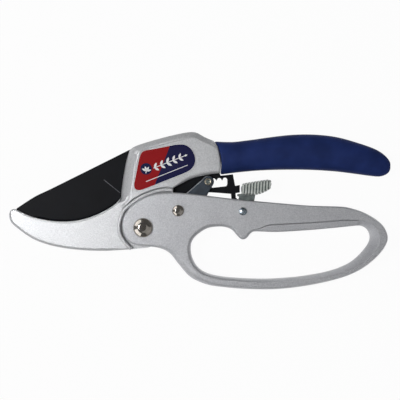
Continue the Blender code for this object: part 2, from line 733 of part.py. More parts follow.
def pad_outline():
    return [(52.1, 20.0), (52.3, 22.2), (53.6, 23.6), (57.5, 24.4), (63.9, 25.4), (67.0, 25.7),
            (68.8, 24.7), (69.1, 22.7), (68.0, 20.9), (65.5, 19.3), (62.3, 18.0), (58.5, 17.4),
            (54.2, 17.7), (52.6, 18.5)]


def latch_outline(grow=0.0):
    """Catch plate: hub on its pin, nose over the tail's toe, arm up into the thumb pad."""
    hub = arc(LATCH_PIVOT, 3.9, 170, 350, 9)
    right = [(59.6, 14.6), (60.2, 17.8), (61.0, 21.4)]
    arm = [(60.2, 22.2), (56.0, 21.6), (55.2, 20.8), (54.4, 18.2)]
    nose = [(50.6, 18.0), (50.4, 17.0), (51.4, 16.6), (50.6, 13.0)]
    return inset(turned(chain(hub, right, arm, nose), True), -grow)


def build_latch(pivot, plate_material, pad_material):
    half = BLADE_THICK / 2
    new_object("latch_plate", layered("latch_plate", latch_outline(), [
        ring(LATCH_PIVOT, LATCH_PIN_R + CLEAR, 20)], plain(MID_Z - half, MID_Z + half)),
        plate_material, pivot)
    pad = new_object("latch_thumb_pad", layered(
        "latch_thumb_pad", loop(pad_outline(), 2), [],
        bevelled(MID_Z - PAD_THICK / 2, MID_Z + PAD_THICK / 2, 0.9)), pad_material, pivot)
    gap = half + CLEAR
    combine(pad, cutter("pad_slot", layered("pad_slot", latch_outline(CLEAR), [], plain(
        MID_Z - gap, MID_Z + gap))))


def build_latch_pivot(pivot, material, spacer_material):
    rivet("latch_pin", LATCH_PIVOT, LATCH_PIN_R, LATCH_HEAD_R, LATCH_DOME, LATCH_HEAD_R,
          SMALL_REAR_HEAD, material, pivot)
    for name, side in (("latch_spacer_front", 1), ("latch_spacer_rear", -1)):
        near = MID_Z + side * (BLADE_THICK / 2 + CLEAR)
        far = MID_Z + side * (CHANNEL_HALF - CLEAR)
        new_object(name, collar_ring(name, LATCH_PIVOT, LATCH_PIN_R + CLEAR, LATCH_PIN_R + 2.0,
                                     min(near, far), max(near, far), 20), spacer_material, pivot)


def build():
    clear_scene()
    silver = finish_of("silver_painted_alloy", (0.42, 0.43, 0.45), 0.4, 0.35)
    coated = finish_of("black_coated_steel", (0.02, 0.02, 0.023), 0.38, 0.0)
    navy = finish_of("navy_dipped_vinyl", (0.022, 0.035, 0.11), 0.42, 0.0)
    chrome = finish_of("bright_plated_steel", (0.75, 0.74, 0.72), 0.12, 1.0)
    zinc = finish_of("zinc_plated_steel", (0.35, 0.38, 0.41), 0.3, 1.0)
    blued = finish_of("blue_grey_steel", (0.065, 0.088, 0.115), 0.4, 0.5)
    alloy = finish_of("bare_cast_alloy", (0.55, 0.57, 0.56), 0.35, 0.9)
    nylon = finish_of("natural_nylon", (0.6, 0.58, 0.52), 0.5, 0.0)
    print_red = finish_of("printed_label", (0.4, 0.015, 0.02), 0.35, 0.0)
    spring_steel = finish_of("spring_steel", (0.3, 0.3, 0.3), 0.3, 1.0)

    handle_pivot = pivot_at("handle_pivot", MAIN)
    blade_pivot = pivot_at("blade_pivot", BLADE_PIVOT)
    link_pivot = pivot_at("link_pivot", LINK_PIVOT, handle_pivot)
    latch_pivot = pivot_at("latch_pivot", LATCH_PIVOT, handle_pivot)

    build_frame(silver)
    build_label(print_red)
    build_grip(navy)
    build_blade_pin(zinc)
    build_main_pivot(chrome, nylon)
    build_blade(blade_pivot, coated)
    build_handle(handle_pivot, silver)
    build_link(link_pivot, blued, zinc)
    build_link_pivot(handle_pivot, chrome, zinc, spring_steel)
    build_latch(latch_pivot, blued, alloy)
    build_latch_pivot(handle_pivot, zinc, nylon)


build()
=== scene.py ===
import json
import math

import bmesh
import bpy
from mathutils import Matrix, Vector
from mathutils.geometry import tessellate_polygon


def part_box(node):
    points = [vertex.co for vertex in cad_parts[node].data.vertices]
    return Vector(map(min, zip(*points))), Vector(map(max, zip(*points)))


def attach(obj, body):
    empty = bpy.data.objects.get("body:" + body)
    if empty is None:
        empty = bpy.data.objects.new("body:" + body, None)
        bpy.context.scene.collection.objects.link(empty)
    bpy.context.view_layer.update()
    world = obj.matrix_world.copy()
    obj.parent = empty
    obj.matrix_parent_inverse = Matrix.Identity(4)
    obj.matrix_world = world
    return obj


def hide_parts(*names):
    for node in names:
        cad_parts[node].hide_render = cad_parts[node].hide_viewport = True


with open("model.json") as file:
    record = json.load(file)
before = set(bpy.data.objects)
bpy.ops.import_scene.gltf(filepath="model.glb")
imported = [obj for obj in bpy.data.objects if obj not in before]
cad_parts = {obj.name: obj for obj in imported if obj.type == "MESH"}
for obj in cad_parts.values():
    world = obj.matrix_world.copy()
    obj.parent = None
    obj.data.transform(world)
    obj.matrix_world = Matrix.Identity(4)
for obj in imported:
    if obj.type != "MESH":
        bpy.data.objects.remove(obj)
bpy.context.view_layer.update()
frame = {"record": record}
print("frame loaded")

mm = 0.001
pivots = {joint["name"]: Vector(joint["pos_m"]) / mm for joint in frame["record"]["behaviour"]["joints"]}
mainPivot = pivots["handle_swing"]
bladePivot = pivots["blade_swing"]
linkPivot = pivots["link_swing"]
latchPivot = pivots["latch_swing"]
midZ = mainPivot.z  # middle plane of the blade, in mm


def nodeBox(node):  # corners of a CAD node, in mm
    low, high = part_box(node)
    return low / mm, high / mm


# materials

def hexToLinear(text):
    values = [int(text[i:i + 2], 16) / 255 for i in (1, 3, 5)]
    return [v / 12.92 if v <= 0.04045 else ((v + 0.055) / 1.055) ** 2.4 for v in values] + [1.0]


def scaleOf(sizeMm):  # texture scale that gives a feature of this size
    return 1.0 / (sizeMm * mm)


def addNode(tree, kind, settings=None, inputs=None):
    node = tree.nodes.new(kind)
    for name, value in (settings or {}).items():
        setattr(node, name, value)
    for socket, value in (inputs or {}).items():
        if isinstance(value, bpy.types.NodeSocket):
            tree.links.new(value, node.inputs[socket])
        else:
            node.inputs[socket].default_value = value
    return node


def startMaterial(name, shaderInputs):
    material = bpy.data.materials.new(name)
    material.use_nodes = True
    tree = material.node_tree
    shader = tree.nodes["Principled BSDF"]
    for socket, value in shaderInputs.items():
        shader.inputs[socket].default_value = value
    place = addNode(tree, "ShaderNodeTexCoord").outputs["Object"]
    return material, tree, shader, place


noiseLow, noiseHigh = 0.3, 0.7  # most of a noise texture lies between these


def twoTone(tree, pattern, look, low=noiseLow, high=noiseHigh):
    # the finish's colour wanders from its dark tone to its light one as the pattern does
    spread = addNode(tree, "ShaderNodeMapRange", inputs={
        "Value": pattern, "From Min": low, "From Max": high})
    colour = addNode(tree, "ShaderNodeMix", {"data_type": "RGBA"}, {
        0: spread.outputs["Result"], 6: hexToLinear(look["dark"]), 7: hexToLinear(look["light"])})
    return colour


def joinShader(tree, shader, colour, rough, bump=None):
    tree.links.new(colour.outputs[2], shader.inputs["Base Color"])
    tree.links.new(rough.outputs["Result"], shader.inputs["Roughness"])
    if bump:
        tree.links.new(bump.outputs["Normal"], shader.inputs["Normal"])


def silverEnamel(name, look):
    # die-cast aluminium under metallic enamel: soft sheen, fine flake, slight orange peel
    material, tree, shader, place = startMaterial(name, {"Metallic": look["metallic"]})
    flake = addNode(tree, "ShaderNodeTexNoise", inputs={
        "Vector": place, "Scale": scaleOf(look["flakeMm"]), "Detail": 4.0, "Roughness": 0.65})
    cloud = addNode(tree, "ShaderNodeTexNoise", inputs={
        "Vector": place, "Scale": scaleOf(look["cloudMm"]), "Detail": 2.0})
    both = addNode(tree, "ShaderNodeMath", {"operation": "MULTIPLY_ADD"}, {
        0: cloud.outputs["Fac"], 1: look["cloudShare"], 2: flake.outputs["Fac"]})
    colour = twoTone(tree, both.outputs[0], look, low=0.4, high=0.74)
    rough = addNode(tree, "ShaderNodeMapRange", inputs={
        "Value": flake.outputs["Fac"], "From Min": noiseLow, "From Max": noiseHigh,
        "To Min": look["rough"] - 0.05, "To Max": look["rough"] + 0.06})
    peel = addNode(tree, "ShaderNodeTexNoise", inputs={
        "Vector": place, "Scale": scaleOf(look["peelMm"]), "Detail": 3.0})
    bump = addNode(tree, "ShaderNodeBump", inputs={
        "Height": peel.outputs["Fac"], "Strength": look["peel"], "Distance": 0.05 * mm})
    joinShader(tree, shader, colour, rough, bump)
    return material


def coatedSteel(name, look):
    # PTFE-coated steel: near black, waxy satin, with fine sprayed grain
    material, tree, shader, place = startMaterial(name, {
        "Metallic": 0.0, "IOR": 1.35, "Specular IOR Level": look["shine"]})
    grain = addNode(tree, "ShaderNodeTexNoise", inputs={
        "Vector": place, "Scale": scaleOf(look["grainMm"]), "Detail": 5.0, "Roughness": 0.6})
    cloud = addNode(tree, "ShaderNodeTexNoise", inputs={
        "Vector": place, "Scale": scaleOf(look["cloudMm"]), "Detail": 3.0})
    colour = twoTone(tree, cloud.outputs["Fac"], look)
    rough = addNode(tree, "ShaderNodeMapRange", inputs={
        "Value": cloud.outputs["Fac"], "From Min": noiseLow, "From Max": noiseHigh,
        "To Min": look["rough"] - 0.06, "To Max": look["rough"] + 0.06})
    bump = addNode(tree, "ShaderNodeBump", inputs={
        "Height": grain.outputs["Fac"], "Strength": 0.25, "Distance": 0.03 * mm})
    joinShader(tree, shader, colour, rough, bump)
    return material


def dippedVinyl(name, look):
    # dip-moulded PVC: soft satin skin with faint pores and slow waves from the dip
    material, tree, shader, place = startMaterial(name, {
        "Metallic": 0.0, "IOR": 1.45, "Specular IOR Level": look["shine"]})
    pores = addNode(tree, "ShaderNodeTexNoise", inputs={
        "Vector": place, "Scale": scaleOf(look["poreMm"]), "Detail": 4.0, "Roughness": 0.6})
    waves = addNode(tree, "ShaderNodeTexNoise", inputs={
        "Vector": place, "Scale": scaleOf(look["waveMm"]), "Detail": 2.0})
    colour = twoTone(tree, waves.outputs["Fac"], look)
    rough = addNode(tree, "ShaderNodeMapRange", inputs={
        "Value": pores.outputs["Fac"], "From Min": noiseLow, "From Max": noiseHigh,
        "To Min": look["rough"] - 0.05, "To Max": look["rough"] + 0.08})
    height = addNode(tree, "ShaderNodeMath", {"operation": "MULTIPLY_ADD"}, {
        0: waves.outputs["Fac"], 1: look["waveShare"], 2: pores.outputs["Fac"]})
    bump = addNode(tree, "ShaderNodeBump", inputs={
        "Height": height.outputs[0], "Strength": 0.3, "Distance": 0.04 * mm})
    joinShader(tree, shader, colour, rough, bump)
    return material


def platedSteel(name, look):
    # plated or oxidised steel: metal with a little uneven colour and faint rolling or turning lines
    look = {"metallic": 1.0, "stretch": 1.0, "turn": 0.0, **look}
    material, tree, shader, place = startMaterial(name, {"Metallic": look["metallic"]})
    stretch = addNode(tree, "ShaderNodeMapping", inputs={
        "Vector": place, "Rotation": (0, 0, look["turn"]), "Scale": (1.0, look["stretch"], 1.0)})
    lines = addNode(tree, "ShaderNodeTexNoise", inputs={
        "Vector": stretch.outputs[0], "Scale": scaleOf(look["lineMm"]), "Detail": 4.0})
    tint = addNode(tree, "ShaderNodeTexNoise", inputs={
        "Vector": place, "Scale": scaleOf(look["tintMm"]), "Detail": 2.0})
    colour = twoTone(tree, tint.outputs["Fac"], look, low=0.35, high=0.65)
    rough = addNode(tree, "ShaderNodeMapRange", inputs={
        "Value": lines.outputs["Fac"], "From Min": noiseLow, "From Max": noiseHigh,
        "To Min": look["rough"] - 0.04, "To Max": look["rough"] + 0.08})
    bump = addNode(tree, "ShaderNodeBump", inputs={
        "Height": lines.outputs["Fac"], "Strength": look["relief"], "Distance": 0.02 * mm})
    joinShader(tree, shader, colour, rough, bump)
    return material


def printedFilm(name, look):
    # ink under a clear polyester film: even colour, print grain, glossy top
    material, tree, shader, place = startMaterial(name, {
        "Metallic": 0.0, "IOR": 1.5, "Specular IOR Level": 0.1})
    grain = addNode(tree, "ShaderNodeTexNoise", inputs={
        "Vector": place, "Scale": scaleOf(look["grainMm"]), "Detail": 3.0})
    colour = twoTone(tree, grain.outputs["Fac"], look)
    rough = addNode(tree, "ShaderNodeMapRange", inputs={
        "Value": grain.outputs["Fac"], "From Min": noiseLow, "From Max": noiseHigh,
        "To Min": 0.28, "To Max": 0.36})
    joinShader(tree, shader, colour, rough)
    return material


def mouldedNylon(name, look):
    # moulded nylon: cloudy, slightly translucent off-white with a dull skin
    material, tree, shader, place = startMaterial(name, {
        "Metallic": 0.0, "IOR": 1.53, "Subsurface Weight": 0.1, "Subsurface Scale": 0.5 * mm})
    cloud = addNode(tree, "ShaderNodeTexNoise", inputs={
        "Vector": place, "Scale": scaleOf(look["cloudMm"]), "Detail": 3.0})
    colour = twoTone(tree, cloud.outputs["Fac"], look)
    rough = addNode(tree, "ShaderNodeMapRange", inputs={
        "Value": cloud.outputs["Fac"], "From Min": noiseLow, "From Max": noiseHigh,
        "To Min": 0.42, "To Max": 0.55})
    joinShader(tree, shader, colour, rough)
    return material


# flake, grain, pores and lines are finer on the real tool, and are drawn just coarse enough to show
castingPaint = silverEnamel("silverEnamelOnAluminium", {
    "dark": "#B0B1B4", "light": "#CECFD1", "metallic": 0.46, "rough": 0.4, "flakeMm": 0.55,
    "cloudMm": 14.0, "cloudShare": 0.15, "peelMm": 0.8, "peel": 0.25})
# painted shade: the handle's enamel is the casting's made a little darker, for the light falling off
# towards the loop
handlePaintShaded = silverEnamel("silverEnamelShadedOnHandle", {
    "dark": "#ABACB1", "light": "#CACBCE", "metallic": 0.5, "rough": 0.4, "flakeMm": 0.55,
    "cloudMm": 14.0, "cloudShare": 0.15, "peelMm": 0.8, "peel": 0.25})
bladeCoat = coatedSteel("blackPtfeOnSteel", {
    "dark": "#151619", "light": "#1B1C20", "shine": 0.1, "rough": 0.4, "grainMm": 0.25,
    "cloudMm": 12.0})
gripVinyl = dippedVinyl("navyDippedVinyl", {
    "dark": "#1E2C5A", "light": "#25356C", "shine": 0.08, "rough": 0.5, "poreMm": 0.4,
    "waveMm": 9.0, "waveShare": 3.0})
rivetChrome = platedSteel("nickelChromePlate", {
    "dark": "#A29C95", "light": "#B4AEA7", "rough": 0.1, "lineMm": 0.3, "tintMm": 3.0, "relief": 0.03})
linkSteel = platedSteel("blueGreyOxideSteel", {
    "dark": "#27303A", "light": "#323D49", "metallic": 0.3, "rough": 0.46, "stretch": 0.08,
    "turn": -0.75, "lineMm": 0.12, "tintMm": 4.0, "relief": 0.2})
zincSteel = platedSteel("blueZincPlate", {
    "dark": "#7E8891", "light": "#9AA5AE", "rough": 0.24, "lineMm": 0.25, "tintMm": 1.5, "relief": 0.08})
pinSteel = platedSteel("yellowZincPlate", {
    "dark": "#8A8272", "light": "#B4AFA2", "rough": 0.26, "lineMm": 0.2, "tintMm": 0.8, "relief": 0.08})
# painted highlight: bright steel for the link plates' bevel faces that face the light
bevelHighlightSteel = platedSteel("paintedBevelHighlight", {
    "dark": "#C4C8CC", "light": "#DDE0E3", "rough": 0.3, "lineMm": 0.2, "tintMm": 1.0, "relief": 0.08})
springWire = platedSteel("drawnSpringWire", {
    "dark": "#5C5E61", "light": "#7A7C7F", "rough": 0.28, "stretch": 0.1, "lineMm": 0.1,
    "tintMm": 2.0, "relief": 0.1})
padAlloy = platedSteel("tumbledCastAlloy", {
    "dark": "#B4BAB5", "light": "#D3D7D3", "metallic": 0.45, "rough": 0.38, "lineMm": 0.35,
    "tintMm": 2.5, "relief": 0.15})
catchSteel = platedSteel("greyZincPlate", {
    "dark": "#646B6B", "light": "#808886", "metallic": 0.8, "rough": 0.34, "stretch": 0.15,
    "lineMm": 0.15, "tintMm": 2.0, "relief": 0.15})
# painted shade: the pad alloy made dark, for the grooves between the ribs and the ratchet pin's dimple
recessShade = platedSteel("paintedShadeInRecesses", {
    "dark": "#4C5452", "light": "#646C69", "metallic": 0.45, "rough": 0.5, "lineMm": 0.35,
    "tintMm": 2.5, "relief": 0.15})
scribedSteel = platedSteel("scribedBareSteel", {
    "dark": "#4A4B50", "light": "#5A5B60", "metallic": 0.6, "rough": 0.4, "lineMm": 0.3,
    "tintMm": 2.0, "relief": 0.05})
redInk = printedFilm("redLabelInk", {"dark": "#8E1216", "light": "#9E171B", "grainMm": 0.4})
navyInk = printedFilm("navyLabelInk", {"dark": "#17173F", "light": "#1F1F4A", "grainMm": 0.4})
whiteInk = printedFilm("whiteLabelInk", {"dark": "#E6E6E8", "light": "#F2F2F3", "grainMm": 0.4})
washerNylon = mouldedNylon("naturalNylon", {"dark": "#D2CDBE", "light": "#E2DECF", "cloudMm": 2.0})
print("materials made")


# outlines: lists of (x, y) in mm

def smoothRun(points, steps=7):  # Catmull-Rom curve through the points
    ends = [points[0]] + list(points) + [points[-1]]
    curve = []
    for i in range(len(points) - 1):
        around = ends[i:i + 4]
        for k in range(steps):
            t = k / steps
            curve.append(tuple(
                0.5 * (2 * b + (c - a) * t + (2 * a - 5 * b + 4 * c - d) * t * t
                       + (3 * b - a - 3 * c + d) * t ** 3) for a, b, c, d in zip(*around)))
    curve.append(tuple(points[-1]))
    return curve


def smoothLoop(points, steps=7):
    wrapped = [points[-1]] + list(points) + list(points[:2])
    return smoothRun(wrapped, steps)[steps:steps * (len(points) + 1)]


def joinRuns(*runs):  # one closed outline, without doubled points
    samePoint = 0.02
    outline = []
    for run in runs:
        for point in run:
            if not outline or math.dist(point[:2], outline[-1]) > samePoint:
                outline.append(tuple(point[:2]))
    if math.dist(outline[0], outline[-1]) <= samePoint:
        outline.pop()
    return outline


def arcPoints(centre, radius, start, end, count):
    angles = [math.radians(start + (end - start) * i / count) for i in range(count + 1)]
    return [(centre[0] + radius * math.cos(a), centre[1] + radius * math.sin(a)) for a in angles]


def circle(centre, radius, count=48):
    return arcPoints(centre, radius, 0, 360 - 360 / count, count - 1)


def along(points, start, length):  # (share of the length, y) to (x, y)
    return [(start + share * length, y) for share, y in points]


def turnedTo(outline, anticlockwise):
    doubled = sum(a[0] * b[1] - b[0] * a[1] for a, b in zip(outline, outline[1:] + outline[:1]))
    return list(outline) if (doubled > 0) == anticlockwise else list(reversed(outline))


def leftAt(run, i):  # unit vector to the left of an open run at one of its points
    ahead = Vector(run[min(i + 1, len(run) - 1)]) - Vector(run[max(i - 1, 0)])
    return Vector((-ahead.y, ahead.x)).normalized()


def shifted(outline, amounts, passes=0):  # each point moves to its left
    mitreLimit = 0.6
    count = len(outline)
    moves = []
    for i in range(count):
        before = Vector(outline[i]) - Vector(outline[i - 1])
        after = Vector(outline[(i + 1) % count]) - Vector(outline[i])
        leftA = Vector((-before.y, before.x)).normalized()
        leftB = Vector((-after.y, after.x)).normalized()
        mitre = (leftA + leftB) / max(mitreLimit, 1 + leftA.dot(leftB))
        moves.append(mitre * amounts[i])
    for _ in range(passes):  # evened out so that tight corners don't cross
        moves = [(moves[i - 1] + moves[i] * 2 + moves[(i + 1) % count]) / 4 for i in range(count)]
    return [(x + move.x, y + move.y) for (x, y), move in zip(outline, moves)]


def grown(outline, amount):
    facing = turnedTo(outline, True)
    return shifted(facing, [-amount] * len(facing))


edgeShapes = {  # shares of an edge's width and depth, from the wall up to the face
    "shoulder": [(0, 1), (0.08, 0.82), (0.22, 0.61), (0.42, 0.4), (0.64, 0.23), (0.86, 0.09),
                 (0.97, 0.015), (1, 0)],
    "slope": [(0, 1), (0.05, 0.9), (0.3, 0.66), (0.55, 0.42), (0.8, 0.18), (0.9, 0.08),
              (0.96, 0.02), (1, 0)],
    "draft": [(0, 1), (0.1, 0.86), (0.35, 0.58), (0.6, 0.33), (0.82, 0.14), (0.91, 0.06),
              (0.97, 0.015), (1, 0)],
    "shelf": [(0, 1), (0.05, 0.74), (0.15, 0.56), (0.5, 0.46), (0.84, 0.46), (0.9, 0.66),
              (0.98, 0.04), (1, 0)]}


def edgeRows(kind, width, depth, steps=7):
    if kind == "round":
        turns = [math.pi / 2 * i / steps for i in range(steps + 1)]
        return [(width * (1 - math.cos(a)), depth * (1 - math.sin(a))) for a in turns]
    return [(width * w, depth * d) for w, d in edgeShapes[kind]]


def stationsBlend(stations):  # an edge that changes smoothly between (x, y, kind, width, depth)
    places = [(x, y, edgeRows(kind, width, depth)) for x, y, kind, width, depth in stations]
    levels = range(len(places[0][2]))
    blur = 0.5  # keeps the weight of a station finite at the station itself

    def edgeAt(x, y):
        weights = [1 / (blur + (x - px) ** 2 + (y - py) ** 2) ** 2 for px, py, rows in places]
        total = sum(weights)
        return [tuple(sum(k * rows[i][j] for k, (px, py, rows) in zip(weights, places)) / total
                      for j in (0, 1)) for i in levels]
    return edgeAt


def evenEdge(width, depth, steps=3):
    return lambda x, y: edgeRows("round", width, depth, steps)


# mesh tools

weldDistance = 1e-7
belowAll, aboveAll = -4, 30  # heights under and over the whole tool, in mm


def makeObject(name, points, faces, materials, faceMaterials=None):
    data = bpy.data.meshes.new(name)
    data.from_pydata([Vector(p) * mm for p in points], [], faces)
    for material in materials:
        data.materials.append(material)
    if faceMaterials:
        data.polygons.foreach_set("material_index", faceMaterials)
    work = bmesh.new()
    work.from_mesh(data)
    bmesh.ops.remove_doubles(work, verts=work.verts, dist=weldDistance)
    bmesh.ops.recalc_face_normals(work, faces=work.faces)
    work.to_mesh(data)
    work.free()
    item = bpy.data.objects.new(name, data)
    bpy.context.collection.objects.link(item)
    return item


def stackedPlate(name, loops, rows, materials, passes=0):
    # a row holds the loops' shifts and heights, a list of each for every loop, from bottom to top
    points = []
    faces = []
    starts = []
    for amounts, heights in rows:
        starts.append([])
        for outline, amount, height in zip(loops, amounts, heights):
            starts[-1].append(len(points))
            points += [(x, y, z) for (x, y), z in zip(shifted(outline, amount, passes), height)]
    for lower, upper in zip(starts, starts[1:]):
        for outline, a, b in zip(loops, lower, upper):
            count = len(outline)
            for i in range(count):
                j = (i + 1) % count
                faces.append((a + i, a + j, b + j, b + i))
    for row, flip in ((0, True), (len(rows) - 1, False)):
        first = starts[row][0]
        flat = []
        for outline, begin in zip(loops, starts[row]):
            flat.append([Vector((x, y, 0)) for x, y, z in points[begin:begin + len(outline)]])
        for triangle in tessellate_polygon(flat):
            corners = [first + i for i in triangle]
            faces.append(tuple(reversed(corners)) if flip else tuple(corners))
    return makeObject(name, points, faces, materials)


def softPlate(name, outer, holes, low, high, edgeAt, materials, reshape=None, passes=6):
    # plate whose rims follow edgeAt, the edge's rows at a place, or one edgeAt for each loop
    loops = [turnedTo(outer, True)] + [turnedTo(hole, False) for hole in holes]
    rules = edgeAt if isinstance(edgeAt, list) else [edgeAt] * len(loops)
    edges = [[rule(x, y) for x, y in loop] for rule, loop in zip(rules, loops)]
    levels = range(len(edges[0][0]))
    rows = []
    for side, order in ((-1, reversed(levels)), (1, levels)):
        face = low if side < 0 else high
        for k in order:
            rows.append(([[edge[k][0] for edge in loop] for loop in edges],
                         [[face - side * edge[k][1] for edge in loop] for loop in edges]))
    plate = stackedPlate(name, loops, rows, materials, passes)
    if reshape:
        for vertex in plate.data.vertices:
            x, y, z = vertex.co / mm
            vertex.co.z = reshape(x, y, z) * mm
    return plate


def flaredCutter(name, outline, floor, face, flare):
    # cutter from a floor to past a face, opening out near the face to leave a chamfer
    past = 2.0
    side = 1 if face > floor else -1
    facing = turnedTo(outline, True)
    stops = [(floor, 0), (face - side * flare, 0), (face + side * past, flare + past)]
    if side < 0:
        stops.reverse()
    rows = [([[-grow] * len(facing)], [[z] * len(facing)]) for z, grow in stops]
    return stackedPlate(name, [facing], rows, [])


def plainCutter(name, outline, low, high, materials=()):
    facing = turnedTo(outline, True)
    rows = [([[0] * len(facing)], [[z] * len(facing)]) for z in (low, high)]
    return stackedPlate(name, [facing], rows, list(materials))


def boreCutter(name, centre, radius, top=aboveAll):
    return plainCutter(name, circle(centre, radius), belowAll, top)


def combine(target, tools, operation="DIFFERENCE"):
    for tool in tools:
        step = target.modifiers.new(tool.name, "BOOLEAN")
        step.operation = operation
        step.solver = "EXACT"
        step.material_mode = "TRANSFER"
        step.object = tool
    settle(target)
    for tool in tools:
        bpy.data.objects.remove(tool, do_unlink=True)


def settle(item):  # modifiers become the mesh
    bpy.context.view_layer.update()
    shape = item.evaluated_get(bpy.context.evaluated_depsgraph_get())
    data = bpy.data.meshes.new_from_object(shape)
    item.modifiers.clear()
    item.data = data


def shade(item, sharpAngle=38, weighted=True):  # weighted keeps broad flats evenly shaded
    item.data.shade_smooth()
    item.data.set_sharp_from_angle(angle=math.radians(sharpAngle))
    if weighted:
        step = item.modifiers.new("evenNormals", "WEIGHTED_NORMAL")
        step.keep_sharp = True
        step.weight = 80


def ringFaces(rings, count, closed=False):  # quads between rings that each have count points
    faces = []
    for r in range(rings if closed else rings - 1):
        a = r * count
        b = (r + 1) % rings * count
        for i in range(count):
            j = (i + 1) % count
            faces.append((a + i, a + j, b + j, b + i))
    return faces


def turnedPiece(name, centre, profile, materials, count=64, hollow=False, second=()):
    # profile of (radius, z) from bottom to top; hollow joins its last point to its first;
    # the bands named in second get the second material
    points = []
    for radius, z in profile:
        for i in range(count):
            angle = 2 * math.pi * i / count
            points.append((centre[0] + radius * math.cos(angle), centre[1] + radius * math.sin(angle), z))
    rings = len(profile)
    faces = ringFaces(rings, count, closed=hollow)
    kinds = [1 if i // count in second else 0 for i in range(len(faces))]
    if not hollow:
        faces.append(tuple(reversed(range(count))))
        faces.append(tuple(range((rings - 1) * count, rings * count)))
        kinds += [0, 1 if rings - 2 in second else 0]
    return makeObject(name, points, faces, materials, kinds)


def sweptWire(name, path, radius, materials, sides=14):
    points = []
    up = Vector((0, 0, 1))
    for i, place in enumerate(path):
        ahead = Vector(path[min(i + 1, len(path) - 1)]) - Vector(path[max(i - 1, 0)])
        side = ahead.cross(up).normalized()
        over = side.cross(ahead).normalized()
        for k in range(sides):
            angle = 2 * math.pi * k / sides
            points.append(Vector(place) + radius * (math.cos(angle) * side + math.sin(angle) * over))
    faces = ringFaces(len(path), sides)
    faces.append(tuple(reversed(range(sides))))
    faces.append(tuple(range((len(path) - 1) * sides, len(path) * sides)))
    return makeObject(name, points, faces, materials)


def seat(item, body, slotName, *nodes):
    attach(item, body)
    if nodes:
        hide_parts(*nodes)
    return item


# camera and light, first so that framing is settled

def makeCamera(view):
    data = bpy.data.cameras.new("viewFromAbove")
    data.lens = view["lens"]
    data.sensor_width = view["sensor"]
    camera = bpy.data.objects.new("viewFromAbove", data)
    bpy.context.collection.objects.link(camera)
    distance = view["fieldMm"] * view["lens"] / view["sensor"]
    camera.location = Vector((view["lookX"], view["lookY"], view["faceZ"] + distance)) * mm
    bpy.context.scene.camera = camera


def makeLamp(name, place, aim, size, watts):
    data = bpy.data.lights.new(name, "AREA")
    data.shape = "RECTANGLE"
    data.size = size[0]
    data.size_y = size[1]
    data.energy = watts
    lamp = bpy.data.objects.new(name, data)
    bpy.context.collection.objects.link(lamp)
    lamp.location = place
    direction = Vector(aim) - Vector(place)
    lamp.rotation_euler = direction.to_track_quat("-Z", "Y").to_euler()


def mirrorRays(tree):  # the camera's rays, and those that shiny or clear things send on
    path = addNode(tree, "ShaderNodeLightPath")
    sentOn = addNode(tree, "ShaderNodeMath", {"operation": "MAXIMUM"}, {
        0: path.outputs["Is Glossy Ray"], 1: path.outputs["Is Transmission Ray"]})
    return path.outputs["Is Camera Ray"], sentOn.outputs[0]


def makeFloor(studio):
    bpy.ops.mesh.primitive_plane_add(size=studio["floorSize"], location=(0, 0, -studio["floorGap"]))
    floor = bpy.context.object
    floor.name = "studioFloor"
    material = bpy.data.materials.new("paleFloor")
    material.use_nodes = True
    tree = material.node_tree
    tree.nodes.clear()
    diffuse = addNode(tree, "ShaderNodeBsdfDiffuse", inputs={"Color": hexToLinear(studio["floorHex"])})
    glow = addNode(tree, "ShaderNodeEmission", inputs={"Color": (1, 1, 1, 1), "Strength": 1.0})
    cameraRay, mirrored = mirrorRays(tree)
    seen = addNode(tree, "ShaderNodeMath", {"operation": "MAXIMUM"}, {0: cameraRay, 1: mirrored})
    share = addNode(tree, "ShaderNodeMath", {"operation": "MULTIPLY"}, {
        0: seen.outputs[0], 1: studio["whiteShare"]})
    mixed = addNode(tree, "ShaderNodeMixShader", inputs={
        0: share.outputs[0], 1: diffuse.outputs[0], 2: glow.outputs[0]})
    addNode(tree, "ShaderNodeOutputMaterial", inputs={"Surface": mixed.outputs[0]})
    floor.data.materials.append(material)


